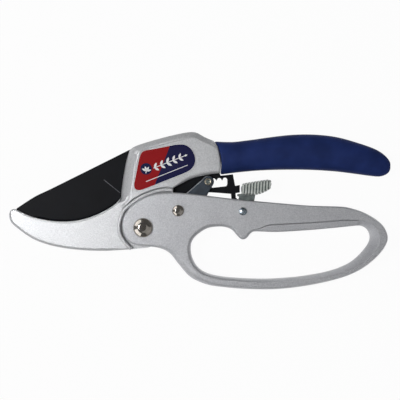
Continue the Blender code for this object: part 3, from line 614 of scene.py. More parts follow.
def makeAir(studio):
    # dim air lights the tool; the camera sees white, and so does what mirrors or refracts low down
    world = bpy.data.worlds.new("studioAir")
    bpy.context.scene.world = world
    world.use_nodes = True
    air = world.node_tree
    air.nodes.clear()
    around = addNode(air, "ShaderNodeTexCoord").outputs["Generated"]
    parts = addNode(air, "ShaderNodeSeparateXYZ", inputs={"Vector": around})
    sideways, upwards = parts.outputs["X"], parts.outputs["Z"]
    level = addNode(air, "ShaderNodeMapRange", {"interpolation_type": "SMOOTHSTEP"}, {
        "Value": sideways, "From Min": studio["leftEnd"], "From Max": studio["rightStart"],
        "To Min": studio["airLeft"], "To Max": studio["airRight"]})
    high = addNode(air, "ShaderNodeMapRange", {"interpolation_type": "SMOOTHSTEP"}, {
        "Value": upwards, "From Min": studio["sidesEnd"], "From Max": studio["topStart"],
        "To Min": 0.0, "To Max": 1.0})
    strength = addNode(air, "ShaderNodeMix", inputs={
        0: high.outputs["Result"], 2: level.outputs["Result"], 3: studio["airTop"]})
    plain = addNode(air, "ShaderNodeBackground", inputs={
        "Color": (1, 1, 1, 1), "Strength": strength.outputs[0]})
    white = addNode(air, "ShaderNodeBackground", inputs={"Color": (1, 1, 1, 1), "Strength": 1.0})
    cameraRay, mirrored = mirrorRays(air)
    lowDown = addNode(air, "ShaderNodeMapRange", inputs={
        "Value": upwards, "From Min": studio["backdropTop"],
        "From Max": studio["backdropTop"] + studio["backdropBlend"], "To Min": 1.0, "To Max": 0.0})
    backdrop = addNode(air, "ShaderNodeMath", {"operation": "MULTIPLY"}, {
        0: mirrored, 1: lowDown.outputs["Result"]})
    whiteTo = addNode(air, "ShaderNodeMath", {"operation": "MAXIMUM"}, {
        0: cameraRay, 1: backdrop.outputs[0]})
    shown = addNode(air, "ShaderNodeMixShader", inputs={
        0: whiteTo.outputs[0], 1: plain.outputs[0], 2: white.outputs[0]})
    addNode(air, "ShaderNodeOutputWorld", inputs={"Surface": shown.outputs[0]})


studioForm = {
    "floorSize": 60.0, "floorGap": 0.0002, "floorHex": "#DCDCDC", "whiteShare": 0.96,
    "airLeft": 0.2, "airRight": 0.13, "airTop": 0.1, "leftEnd": -0.7, "rightStart": 0.5,
    "sidesEnd": 0.55, "topStart": 0.95, "backdropTop": 0.14, "backdropBlend": 0.04,
    "lamps": [  # name, place, aim, size, watts
        ("keyAbove", (-0.27, 0.04, 0.7), (-0.02, 0.01, 0.0), (0.2, 0.2), 2.3),
        ("lowBackLeft", (-0.55, 0.5, 0.52), (0.0, 0.0, 0.0), (0.8, 0.22), 1.0),
        ("lowFrontLeft", (-0.55, -0.5, 0.52), (0.0, 0.0, 0.0), (0.8, 0.22), 1.0),
        ("fillRight", (0.6, -0.35, 1.1), (0.05, 0.0, 0.0), (1.4, 1.4), 2.1)]}

makeCamera({"lens": 120.0, "sensor": 36.0, "fieldMm": 213.2, "lookX": 30.4, "lookY": 14.8,
            "faceZ": midZ + 7.3})
makeFloor(studioForm)
makeAir(studioForm)
for lampSettings in studioForm["lamps"]:
    makeLamp(*lampSettings)
bpy.context.scene.view_settings.view_transform = "Standard"
print("camera and light set")


# head and jaw casting

castingForm = {
    "jawStart": -11.3, "jawLength": 60.7, "jawHalf": 5.7, "jawThin": 0.24,
    "headHalf": 6.35, "panelHalf": 6.7, "webHalf": 3.1, "slotHalf": 1.8,
    "webR": 11.0, "collarX": 41.2, "lip": 1.3, "mainBore": 4.3, "bladeBore": 3.5,
    "pocketFlare": 0.4, "labelSeat": 0.4, "labelGap": 0.3, "boreCover": 0.25, "ringHalf": 1.0,
    "ringTop": 6.15, "lipProud": 0.25, "lipDeep": 1.0, "tangY": 39.5, "tangHalf": 4.5,
    "tangThick": 4.0, "tangLong": 62.0, "tangRoot": 3.0, "seatCutTop": 12.0}


def anvilLine(steps=7):
    form = castingForm
    return smoothRun(along([
        (-0.926, 9.3), (-0.806, 6.1), (-0.674, 4.1), (-0.542, 3.3), (-0.41, 3.7), (-0.277, 5.7),
        (-0.145, 9.3), (-0.048, 13.3), (0, 17.2)], form["jawStart"], form["jawLength"]), steps)


def collarLine(steps=5):
    x = castingForm["collarX"]
    return smoothRun([(x - 3.5, 46.4), (x - 1.4, 43.2), (x - 0.1, 38.9), (x + 0.4, 34.1),
                      (x, 29.3)], steps)


def headUnderLine():
    return smoothRun([(castingForm["collarX"], 29.3), (36.1, 28.6), (30.7, 27.6), (25.4, 26.1),
                      (20.5, 23.6), (15.7, 21.0)], 5)


def recessLine():
    return smoothRun([(-7.5, -10.3), (-12.4, -4.9), (-13.5, 0.0), (-12.8, 4.9), (-11.0, 9.8),
                      (-6.3, 14.4), (-2.2, 17.1), (2.6, 19.3), (7.7, 20.9), (12.5, 21.6),
                      (15.7, 21.0)], 6)


def labelLine(growth=0.0):
    shape = [(-1.4, 39.4), (0.6, 41.2), (6.0, 42.2), (13.1, 43.6), (17.9, 44.5), (22.1, 44.4),
             (25.6, 42.3), (27.6, 38.6), (27.9, 35.0), (26.4, 31.8), (22.8, 29.3), (12.0, 25.0),
             (2.0, 21.0), (-2.0, 19.9), (-4.3, 20.7), (-4.9, 23.2), (-3.8, 28.8), (-2.5, 35.5)]
    return grown(smoothLoop(shape, 6), growth)


def ringLine():  # raised rim round the handle's disc
    return smoothRun([(-6.4, -11.2), (-8.4, -9.4), (-12.0, -4.7), (-13.0, 0.0), (-12.3, 4.5),
                      (-10.3, 9.2), (-5.6, 13.5), (-1.6, 16.1), (3.1, 18.2), (7.9, 19.75),
                      (12.5, 20.4), (16.0, 20.0)], 6)


def tangLine(root, gap=0.0):  # the bar inside the grip, from its root in the head
    form = castingForm
    left, right = form["collarX"] - root, form["collarX"] + form["tangLong"] + gap
    low, high = form["tangY"] - form["tangHalf"] - gap, form["tangY"] + form["tangHalf"] + gap
    return [(left, low), (right, low), (right, high), (left, high)]


def makeCasting(form):
    underside = smoothRun(along([
        (-0.926, 9.3), (-0.955, 10.0), (-0.982, 9.4), (-0.9993, 7.3), (-0.995, 4.7), (-0.974, 2.2),
        (-0.895, -1.8), (-0.806, -5.5), (-0.718, -7.9), (-0.586, -10.2), (-0.41, -11.8),
        (-0.189, -12.5), (-0.013, -12.0)], form["jawStart"], form["jawLength"])
        + [(0.0, -form["webR"])], 6)
    neck = smoothRun([(15.7, 21.0), (14.2, 16.0), (13.0, 11.0), (11.6, 7.2)]
                     + arcPoints(mainPivot, form["webR"], 24, 24, 1)[:1], 4)
    web = arcPoints(mainPivot, form["webR"], 24, -90, 26)
    jawOutline = joinRuns(anvilLine(), [(-8.0, 21.0), (2.0, 24.0), (14.5, 22.5)], neck, web,
                          list(reversed(underside)))

    def thinned(x, y, z):
        tip = (form["jawStart"] - x) / form["jawLength"]
        return midZ + (z - midZ) * (1 - form["jawThin"] * tip)

    jawEdges = stationsBlend([
        (-66, 8, "round", 0.6, 0.6), (-50, 4, "round", 0.6, 0.6), (-30, 5, "round", 0.6, 0.6),
        (-15, 12.5, "round", 0.7, 0.7), (-11.3, 17.5, "shoulder", 3.4, 3.2),
        (-8, 21, "shoulder", 4.0, 3.5), (-70, 9, "round", 0.9, 1.4), (-72, 5, "round", 1.7, 2.4),
        (-63, -3, "round", 1.6, 2.6), (-45, -10, "round", 1.5, 2.6), (-22, -12.5, "round", 1.3, 2.2),
        (-5, -11.5, "round", 0.8, 1.2), (6, -9, "round", 0.3, 0.3), (12, 8, "round", 0.3, 0.3),
        (0, 23, "round", 0.3, 0.3)])
    casting = softPlate("headAndJawCasting", jawOutline, [], midZ - form["jawHalf"],
                        midZ + form["jawHalf"], jawEdges, [castingPaint], reshape=thinned)

    upperLip = anvilLine()[3:-3]
    lowerLip = [(x, y - form["lipDeep"]) for x, y in reversed(upperLip)]
    lipHalf = form["jawHalf"] + form["lipProud"]
    lip = softPlate("anvilLip", upperLip + lowerLip, [], midZ - lipHalf, midZ + lipHalf,
                    evenEdge(0.38, 0.4, 4), [castingPaint], reshape=thinned, passes=1)
    combine(casting, [lip], "UNION")

    headTop = smoothRun([(-7.3, 41.7), (-4.1, 43.6), (1.3, 45.5), (9.3, 47.8), (17.3, 49.8),
                         (23.0, 50.9), (26.4, 51.18), (29.0, 50.6), (33.0, 48.4), (37.0, 46.7),
                         (37.7, 46.4)], 6)
    headFront = smoothRun([(-11.2, 9.6), (-11.9, 13.0), (-11.9, 17.2), (-11.0, 25.5),
                           (-9.1, 36.0), (-7.3, 41.7)], 5)
    wall = [p for p in recessLine() if p[0] > -11.2 and p[1] > 9.6]
    headOutline = joinRuns(headTop, collarLine(), headUnderLine(), list(reversed(wall)), headFront)
    headEdges = stationsBlend([
        (-11, 25, "shoulder", 5.7, 4.4), (-9, 38, "shoulder", 5.0, 4.2),
        (-12, 16, "shoulder", 5.2, 4.2),
        (-11, 10, "round", 0.8, 0.8), (-3, 44.2, "slope", 2.7, 1.7), (8, 47.5, "slope", 2.8, 1.7),
        (17, 49.8, "slope", 2.8, 1.7), (26, 51, "slope", 2.7, 1.7), (34, 48, "slope", 2.2, 1.5),
        (40, 43, "round", 1.1, 1.0), (41.5, 34, "round", 0.9, 0.9), (36, 28.6, "round", 1.8, 1.6),
        (24, 25.5, "round", 1.8, 1.6), (15.7, 21, "round", 0.8, 0.8), (8, 21, "round", 0.3, 0.3),
        (0, 18, "round", 0.3, 0.3), (-8, 12.5, "round", 0.3, 0.3)])
    head = softPlate("headBlock", headOutline, [], midZ - form["headHalf"],
                     midZ + form["headHalf"], headEdges, [castingPaint])
    panelOutline = joinRuns(
        smoothRun([(-6.6, 14.5), (-6.0, 20.0), (-5.2, 24.0), (-4.6, 30.0), (-3.9, 36.2),
                   (-3.3, 39.4), (-2.0, 41.3), (0.9, 42.3), (7.6, 43.8), (15.2, 45.9),
                   (25.0, 48.4), (28.6, 48.2), (33.0, 45.9), (37.4, 44.2)], 6),
        [p for p in collarLine() if p[1] < 43], headUnderLine(),
        list(reversed([p for p in recessLine() if p[0] > -5.8 and p[1] > 14.8])))
    panelTop = [(-5, 24), (-4, 36), (-2, 41), (8, 44), (20, 47), (29, 48), (36, 45)]
    panelEdges = stationsBlend([(x, y, "slope", 0.55, 0.35) for x, y in panelTop] + [
        (40.5, 41, "round", 1.1, 1.3), (41.5, 34, "round", 0.9, 1.2),
        (36, 28.6, "round", 1.9, 1.9), (24, 25.5, "round", 1.9, 1.9), (15.7, 21, "round", 0.8, 1.0),
        (8, 21, "round", 0.3, 0.3), (0, 18, "round", 0.3, 0.3), (-5, 15, "round", 0.3, 0.3)])
    panel = softPlate("panelBlock", turnedTo(panelOutline, True), [], midZ - form["panelHalf"],
                      midZ + form["panelHalf"], panelEdges, [castingPaint])
    tang = plainCutter("tangBlock", tangLine(form["tangRoot"]), midZ - form["tangThick"],
                       midZ + form["tangThick"], [castingPaint])
    combine(casting, [head, panel, tang], "UNION")

    pocket = joinRuns([(10.3, -30.0)], recessLine(), [(30.0, 10.0), (30.0, -30.0)])
    face = form["panelHalf"]
    combine(casting, [
        flaredCutter("pocketFront", pocket, midZ + form["webHalf"], midZ + face, form["pocketFlare"]),
        flaredCutter("pocketRear", pocket, midZ - form["webHalf"], midZ - face, form["pocketFlare"])])
    middle = ringLine()
    outerSide = []
    innerSide = []
    for i, (x, y) in enumerate(middle):
        left = leftAt(middle, i) * form["ringHalf"]
        outerSide.append((x + left.x, y + left.y))
        innerSide.append((x - left.x, y - left.y))
    ring = softPlate("raisedRim", outerSide + list(reversed(innerSide)), [],
                     midZ - form["ringTop"], midZ + form["ringTop"], evenEdge(0.75, 0.85, 5),
                     [castingPaint], passes=1)
    combine(casting, [ring], "UNION")

    slotFloor = [(x, y - form["lip"]) for x, y in anvilLine()]
    inner = smoothRun([slotFloor[-1], (-6.0, 18.1), (0.0, 18.6)], 4)
    hub = arcPoints(bladePivot, 9.5, -120, -104, 4)
    below = [(10.4, 15.6), (15.5, 14.6), (24.0, 8.0), (60.0, 8.0), (60.0, 27.0)]
    roof = [(43.8, 28.6), (40.7, 31.2), (34.0, 32.4), (24.0, 36.2), (15.5, 43.0), (7.0, 45.4)]
    slot = joinRuns([(-68.7, 9.2)], slotFloor, inner, hub, below, roof, [(6.5, 60.0), (-68.7, 60.0)])
    seatFloor = midZ + form["panelHalf"] - form["labelSeat"]
    combine(casting, [
        plainCutter("bladeSlot", slot, midZ - form["slotHalf"], midZ + form["slotHalf"]),
        plainCutter("labelSeat", labelLine(form["labelGap"]), seatFloor, midZ + form["seatCutTop"]),
        boreCutter("mainBore", mainPivot, form["mainBore"]),
        boreCutter("bladeBore", bladePivot, form["bladeBore"], seatFloor - form["boreCover"])])
    shade(casting, 30)
    return casting


seat(makeCasting(castingForm), "frame", "silver_alloy", "frame_casting")
print("casting made")


# loop handle

handleForm = {
    "loopStart": 54.9, "loopLength": 75.9, "half": 7.3, "channelHalf": 4.3, "floorY": 4.4,
    "mainBore": 4.3, "linkBore": 2.0, "latchBore": 1.6}


def makeHandle(form):
    top = [(-11.3, 0.0), (-10.5, 5.7), (-7.7, 10.3), (-4.6, 13.2), (-0.9, 15.6), (4.0, 17.7),
           (9.3, 18.7), (14.7, 18.9), (25.4, 18.2), (41.4, 16.2), (54.9, 14.7)]
    far = along([(0.245, 13.1), (0.458, 11.8), (0.668, 11.3), (0.74, 10.4), (0.823, 8.4),
                 (0.908, 4.9), (0.971, 0.6), (1.0, -5.0), (0.982, -9.8), (0.929, -15.1),
                 (0.851, -20.2), (0.767, -24.0), (0.668, -26.9), (0.527, -29.6), (0.386, -31.5),
                 (0.245, -32.7), (0.119, -33.0)], form["loopStart"], form["loopLength"])
    low = [(52.1, -32.6), (41.4, -31.6), (35.0, -30.6), (29.1, -28.5), (24.3, -25.6),
           (18.9, -19.4), (14.7, -14.1), (10.4, -11.4), (5.0, -10.2), (-0.3, -9.8), (-5.1, -8.9),
           (-9.4, -5.5)]
    outer = smoothLoop(top + far + low, 6)
    holeFront = [(25.4, -11.4), (26.2, -7.1), (29.1, -3.6), (33.9, -0.5), (38.7, 0.5),
                 (43.5, 0.4), (47.3, -1.0), (50.0, -3.9), (51.9, -5.8), (53.6, -6.3),
                 (55.3, -5.6), (57.4, -3.2), (59.2, -2.1)]
    holeFar = along([(0.119, -2.1), (0.21, -2.3), (0.351, -1.8), (0.527, -0.8), (0.704, 0.5),
                     (0.794, 1.1), (0.845, 0.1), (0.876, -3.1), (0.876, -7.1), (0.837, -11.9),
                     (0.767, -17.3), (0.683, -21.0), (0.563, -24.0), (0.386, -26.4),
                     (0.245, -27.4), (0.119, -27.8)], form["loopStart"], form["loopLength"])
    holeBack = [(52.1, -27.4), (41.4, -26.4), (33.9, -24.5), (29.1, -21.3), (26.3, -16.5)]
    hole = smoothLoop(holeFront + holeFar + holeBack, 6)
    outerEdges = stationsBlend([
        (-11.3, 0, "round", 1.3, 1.5), (-8, 10, "round", 1.3, 1.5), (4, 17.7, "round", 1.2, 1.3),
        (25, 18, "round", 0.8, 1.3), (55, 14.7, "round", 0.8, 1.4), (90, 11.8, "round", 0.8, 1.6),
        (112, 10, "round", 1.0, 2.0), (127, 2, "round", 1.2, 2.4), (130, -6, "round", 1.2, 2.4),
        (125, -16, "round", 1.2, 2.4), (110, -25.5, "round", 1.2, 2.4),
        (85, -31.5, "round", 1.2, 2.4), (60, -33, "round", 1.2, 2.4), (40, -31.5, "round", 1.6, 2.6),
        (31, -29.5, "round", 2.6, 3.2), (22, -23, "round", 3.6, 3.2), (16, -16, "round", 2.4, 2.6),
        (5, -10.2, "round", 1.1, 1.5), (-6, -8.5, "round", 1.3, 1.5)])
    shelfRun = [(67, -2.2, 4.2), (72, -2.0, 4.4), (78, -1.8, 4.4), (84, -1.5, 4.4), (90, -1.1, 4.3),
                (96, -0.7, 4.2), (102, 0.1, 4.1), (108, 0.6, 3.9)]
    holeEdges = stationsBlend([
        (26, -10, "round", 2.0, 3.0), (33, -1, "round", 2.0, 2.6), (43, 0.4, "round", 1.8, 2.4),
        (48, -1.8, "round", 1.7, 2.6), (53.5, -6.5, "round", 1.4, 2.6),
        (57.5, -3, "round", 1.5, 2.4), (62, -2.1, "shelf", 1.6, 2.0)]
        + [(x, y, "shelf", width, 2.0) for x, y, width in shelfRun] + [
        (113, 1.2, "shelf", 3.2, 2.4), (118, 1.0, "draft", 2.8, 5.0), (120.8, -2, "draft", 4.2, 7.0),
        (121.2, -6, "draft", 4.7, 7.0), (120, -10, "draft", 4.7, 7.0), (117, -14, "draft", 4.4, 7.0),
        (112, -17.5, "draft", 3.7, 6.6), (106, -21, "draft", 3.0, 6.0), (97, -24, "draft", 2.3, 5.0),
        (88, -26, "draft", 1.7, 4.0), (75, -27.5, "draft", 1.4, 3.0), (60, -27.8, "draft", 1.3, 2.4),
        (45, -26.8, "round", 1.3, 2.4), (34, -24.5, "round", 1.4, 2.6), (30, -22, "round", 1.6, 2.8),
        (26, -15.5, "round", 1.9, 3.0)])
    # the handle takes the darker enamel: painted shade
    handle = softPlate("fingerLoopHandle", outer, [hole], midZ - form["half"], midZ + form["half"],
                       [outerEdges, holeEdges], [handlePaintShaded])
    web = arcPoints(mainPivot, 11.6, -58, 22, 24)
    channel = joinRuns(arcPoints(mainPivot, 40, -58, -58, 1)[:1], web, [
        (latchPivot.x + 4.4, form["floorY"]), (latchPivot.x + 11.4, 15.4),
        (latchPivot.x + 12.0, 45.0), (-40.0, 45.0), (-40.0, -40.0)])
    combine(handle, [
        plainCutter("channel", channel, midZ - form["channelHalf"], midZ + form["channelHalf"]),
        boreCutter("mainHole", mainPivot, form["mainBore"]),
        boreCutter("linkHole", linkPivot, form["linkBore"]),
        boreCutter("latchHole", latchPivot, form["latchBore"])])
    shade(handle, 28)
    return handle


seat(makeHandle(handleForm), "handle", "silver_alloy", "loop_handle")
print("handle made")


# blade with its toothed tail

bladeForm = {
    "half": 1.5, "edgeSink": 1.0, "edgeWidth": 2.0, "edgeHalf": 0.12, "bore": 3.5,
    "pin": (34.7, 24.6), "pinR": 1.3, "pitch": 3.05, "notchR": 1.25,
    "tips": (25.7, 25.25, 25.2), "pinGap": 0.3, "rim": 0.22, "edgeNick": 0.2,
    "lineFrom": (-21.3, 25.7), "lineTo": (-12.5, 18.6), "lineHalf": 0.16, "lineDeep": 0.12,
    "lineCutTop": 4.0}


def rackLine(form):  # window with three notches for the ratchet pin
    x, y = form["pin"]
    reach = form["pinR"] + form["pinGap"]
    radius = form["notchR"]
    tops = arcPoints((x, y + reach - radius), radius, 150, 40, 8)
    for i, tip in enumerate(form["tips"]):
        tops.append((x + form["pitch"] * (i + 0.5), tip))
        centre = (x + form["pitch"] * (i + 1), y + 0.6 + 0.2 * i)
        tops += arcPoints(centre, radius, 140, 40 if i < 2 else 0, 8)
    right = x + 3 * form["pitch"] + radius
    bottom = smoothRun([(right, 23.4), (right - 0.5, 22.4), (right - 1.6, 22.1), (x + 2.4, 21.4)], 4)
    return joinRuns(tops, bottom, arcPoints((x, y), reach, -100, -210, 10))


def makeBlade(form):
    edge = [(x, y - form["edgeSink"]) for x, y in anvilLine(6)]
    edge[0] = (edge[0][0] + form["edgeNick"], edge[0][1] + form["edgeNick"])
    inner = []
    for i, (x, y) in enumerate(edge):
        share = i / (len(edge) - 1)
        # the ground strip narrows to the tip and to the heel
        width = form["edgeWidth"] * min(1.0, 5 * share + 0.02) * min(1.0, 0.25 + 6 * (1 - share))
        left = leftAt(edge, i)
        inner.append((x + left.x * width, y + left.y * width))
    start = castingForm["jawStart"]
    length = castingForm["jawLength"]
    right = form["pin"][0] + 3 * form["pitch"] + form["notchR"]
    collar = castingForm["collarX"]
    heel = smoothRun([edge[-1], (-6.2, 18.6), (0.0, 19.4), (5.0, 21.0)], 4)[1:]
    hub = arcPoints(bladePivot, 8.6, -118, -78, 8)
    under = smoothRun([(17.5, 18.3), (21.0, 17.7), (28.0, 18.5), (35.5, 18.9),
                       (right + 2.0, 18.1)], 5)
    foot = [(right + 2.2, 15.6), (right + 2.6, 14.2), (right + 5.2, 14.2), (right + 5.6, 15.2),
            (right + 4.6, 16.0), (right + 4.4, 18.4), (right + 6.7, 18.9), (right + 6.7, 22.9),
            (right + 4.2, 22.4), (right + 3.0, 28.6), (collar + 0.3, 27.9)]
    roof = smoothRun([(collar - 0.6, 29.9), (34.0, 31.4), (24.0, 35.0), (16.0, 38.0),
                      (9.0, 39.8), (1.0, 41.4), (-3.5, 42.6)], 4)
    spine = smoothRun([(-7.1, 42.0)] + list(reversed(along([
        (-0.938, 10.2), (-0.779, 16.5), (-0.629, 20.9), (-0.277, 31.5)], start, length))), 7)
    outline = joinRuns(inner, heel, hub, under, foot, roof, spine)
    holes = [rackLine(form), circle(bladePivot, form["bore"])]
    blade = groundPlate(form, outline, edge, inner, holes)
    a = Vector(form["lineFrom"])
    b = Vector(form["lineTo"])
    ahead = (b - a).normalized()
    across = Vector((-ahead.y, ahead.x)) * form["lineHalf"]
    scribe = [tuple(a - across), tuple(b - across), tuple(b + across), tuple(a + across)]
    lineFloor = midZ + form["half"] - form["lineDeep"]
    combine(blade, [plainCutter("scribedLine", scribe, lineFloor, midZ + form["lineCutTop"],
                                [scribedSteel])])
    shade(blade, 20)
    return blade


def groundPlate(form, outline, edge, inner, holes):
    # flat plate whose strip between inner and edge is ground to the edge from both faces
    loops = [turnedTo(outline, True)] + [turnedTo(hole, False) for hole in holes]
    flatPoints = [p for one in loops for p in one]
    count = len(flatPoints)
    rim = form["rim"]  # the stamped rim's small chamfer
    low, high = midZ - form["half"], midZ + form["half"]
    insetLoops = [shifted(one, [rim] * len(one)) for one in loops]
    insetPoints = [p for one in insetLoops for p in one]
    indexAt = {(round(x, 3), round(y, 3)): i for i, (x, y) in enumerate(flatPoints)}
    found = [indexAt.get((round(x, 3), round(y, 3))) for x, y in inner]
    strip = [i for i in found if i is not None]
    places = [place for place, i in zip(edge, found) if i is not None]
    onStrip = set(strip)
    for i in onStrip:
        insetPoints[i] = flatPoints[i]
    insetFlat = []
    cursor = 0
    for one in loops:
        insetFlat.append([Vector((x, y, 0)) for x, y in insetPoints[cursor:cursor + len(one)]])
        cursor += len(one)
    points = [(x, y, low) for x, y in insetPoints] + [(x, y, high) for x, y in insetPoints]
    faces = []
    for triangle in tessellate_polygon(insetFlat):
        faces.append(tuple(reversed(triangle)))
        faces.append(tuple(i + count for i in triangle))
    wallLow = len(points)
    points += [(x, y, low + rim) for x, y in flatPoints]
    wallHigh = len(points)
    points += [(x, y, high - rim) for x, y in flatPoints]
    cursor = 0
    for one in loops:
        size = len(one)
        for i in range(size):
            a = cursor + i
            b = cursor + (i + 1) % size
            if a in onStrip and b in onStrip:
                continue
            faces.append((a, b, wallLow + b, wallLow + a))
            faces.append((wallLow + a, wallLow + b, wallHigh + b, wallHigh + a))
            faces.append((wallHigh + a, wallHigh + b, b + count, a + count))
        cursor += size
    base = len(points)
    for z in (midZ - form["edgeHalf"], midZ + form["edgeHalf"]):
        points += [(x, y, z) for x, y in places]
    total = len(places)
    for i in range(total - 1):
        a, b = strip[i], strip[i + 1]
        faces.append((base + i, base + i + 1, b, a))
        faces.append((a + count, b + count, base + total + i + 1, base + total + i))
        faces.append((base + i + 1, base + i, base + total + i, base + total + i + 1))
    for i in (0, total - 1):
        a = strip[i]
        faces.append((a, wallLow + a, wallHigh + a, a + count, base + total + i, base + i))
    return makeObject("cuttingBlade", points, faces, [bladeCoat])


seat(makeBlade(bladeForm), "blade", "coated_steel", "blade")
print("blade made")


# dipped grip

gripForm = {
    "length": 92.0, "thick": 16.2, "round": 0.8, "lip": 0.35, "over": 0.3, "mouthThick": 0.86,
    "bulgeShift": 0.12, "taperFrom": 0.72, "taperTo": 1.002, "mouthReach": 0.22, "tangGap": 0.3,
    "hollowRoot": 12.0}


def readTable(table, share):  # straight-line reading between (place, value) pairs
    for (x0, y0), (x1, y1) in zip(table, table[1:]):
        if x0 <= share <= x1:
            return y0 + (y1 - y0) * (share - x0) / (x1 - x0)
    return table[-1][1]


def makeGrip(form):
    low = smoothRun([(0.0, 28.5), (0.117, 29.8), (0.233, 30.7), (0.379, 31.1), (0.524, 31.0),
                     (0.669, 30.2), (0.786, 28.9), (0.874, 27.8), (0.93, 27.4), (0.967, 28.3),
                     (0.99, 30.1), (1.0, 33.0)], 8)
    high = smoothRun([(0.0, 46.3), (0.088, 46.0), (0.175, 47.0), (0.292, 48.6), (0.408, 49.8),
                      (0.512, 50.1), (0.611, 49.6), (0.7, 48.3), (0.803, 45.6), (0.897, 42.6),
                      (0.954, 39.6), (0.99, 36.0), (1.0, 33.0)], 8)
    collar = [(x + form["over"], y) for x, y in collarLine(8)]
    start = castingForm["collarX"]
    half = 28  # points on each side of a ring
    shares = [0.0, 0.004, 0.012] + [0.03 * i for i in range(1, 28)] + [
        0.84, 0.865, 0.89, 0.91, 0.93, 0.945, 0.96, 0.972, 0.982, 0.99, 0.995]
    bulge = 1 - form["mouthThick"]
    taper = form["taperTo"] - form["taperFrom"]
    lipShares = (1.0, 0.35)  # the mouth's rounded edge, on its first rings
    points = []
    for index, share in enumerate(shares):
        bottom = readTable(low, share)
        top = readTable(high, share)
        lip = form["lip"] * lipShares[index] if index < len(lipShares) else 0.0
        middle = (bottom + top) / 2
        swell = math.sin(math.pi * min(1.0, share + form["bulgeShift"]))
        thick = form["thick"] / 2 * (form["mouthThick"] + bulge * swell)
        thick *= math.sqrt(max(0.02, 1 - max(0.0, (share - form["taperFrom"]) / taper) ** 2))
        for k in range(2 * half):
            angle = math.pi / 2 - math.pi * k / half
            sine = math.copysign(abs(math.sin(angle)) ** form["round"], math.sin(angle))
            cosine = math.copysign(abs(math.cos(angle)) ** form["round"], math.cos(angle))
            y = middle + sine * ((top - bottom) / 2 - lip)
            mouth = readTable([(-b, a) for a, b in collar], -y) if y < collar[0][1] else collar[0][0]
            blend = max(0.0, 1 - share / form["mouthReach"])
            x = start + share * form["length"] + (mouth - start) * blend
            points.append((x, y, midZ + cosine * (thick - lip)))
    count = 2 * half
    faces = ringFaces(len(shares), count)
    for base in (0, (len(shares) - 1) * count):  # both ends are closed across the ring
        for k in range(half):
            corners = [base + (count - k) % count, base + count - k - 1, base + k + 1, base + k]
            faces.append([c for i, c in enumerate(corners) if c not in corners[:i]])
    grip = makeObject("dippedGrip", points, faces, [gripVinyl])
    gap = form["tangGap"]
    reach = castingForm["tangThick"] + gap
    combine(grip, [plainCutter("tangHollow", tangLine(form["hollowRoot"], gap), midZ - reach,
                               midZ + reach)])
    shade(grip, 50)
    return grip


seat(makeGrip(gripForm), "frame", "navy_vinyl", "grip_sleeve")
print("grip made")


# label: pale border, two tones and a plain leaf

labelForm = {
    "border": 0.18, "splitTop": (14.7, 44.5), "splitLow": (6.2, 22.8), "badge": (1.7, 31.4),
    "badgeR": 3.1, "twigFrom": (5.6, 31.8), "twigTo": (21.8, 38.2), "leafPairs": 5,
    "leafLong": 3.3, "leafWide": 1.4, "leafSpread": 48, "ruleFrom": (1.6, 24.6),
    "ruleTo": (23.8, 33.4), "borderDeep": 0.06,
    "fieldLayer": (0.1, 0.03), "badgeLayer": (0.08, 0.015), "stemLayer": (0.06, 0.005),
    "markLayer": (0.06, 0.0)}  # each layer's lower and upper depth below the label's face


def clipped(outline, a, b, keepLeft):  # part of an outline on one side of the line a to b
    direction = Vector(b) - Vector(a)

    def side(p):
        value = direction.x * (p[1] - a[1]) - direction.y * (p[0] - a[0])
        return value if keepLeft else -value

    kept = []
    for p, q in zip(outline, outline[1:] + outline[:1]):
        sp, sq = side(p), side(q)
        if sp >= 0:
            kept.append(p)
        if sp * sq < 0:
            t = sp / (sp - sq)
            kept.append((p[0] + t * (q[0] - p[0]), p[1] + t * (q[1] - p[1])))
    return kept


def leafLine(foot, angle, long, wide):
    ahead = Vector((math.cos(angle), math.sin(angle)))
    side = Vector((-ahead.y, ahead.x))
    rows = [(0.0, 0.0), (0.25, 0.38), (0.5, 0.5), (0.75, 0.36), (1.0, 0.0)]
    right = [Vector(foot) + ahead * (long * t) - side * (wide * w) for t, w in rows]
    left = [Vector(foot) + ahead * (long * t) + side * (wide * w) for t, w in reversed(rows[1:-1])]
    return [(p.x, p.y) for p in right + left]


def barLine(a, b, wide):
    ahead = (Vector(b) - Vector(a)).normalized()
    side = Vector((-ahead.y, ahead.x)) * wide / 2
    return [tuple(Vector(p) + s * side) for p, s in ((a, -1), (b, -1), (b, 1), (a, 1))]


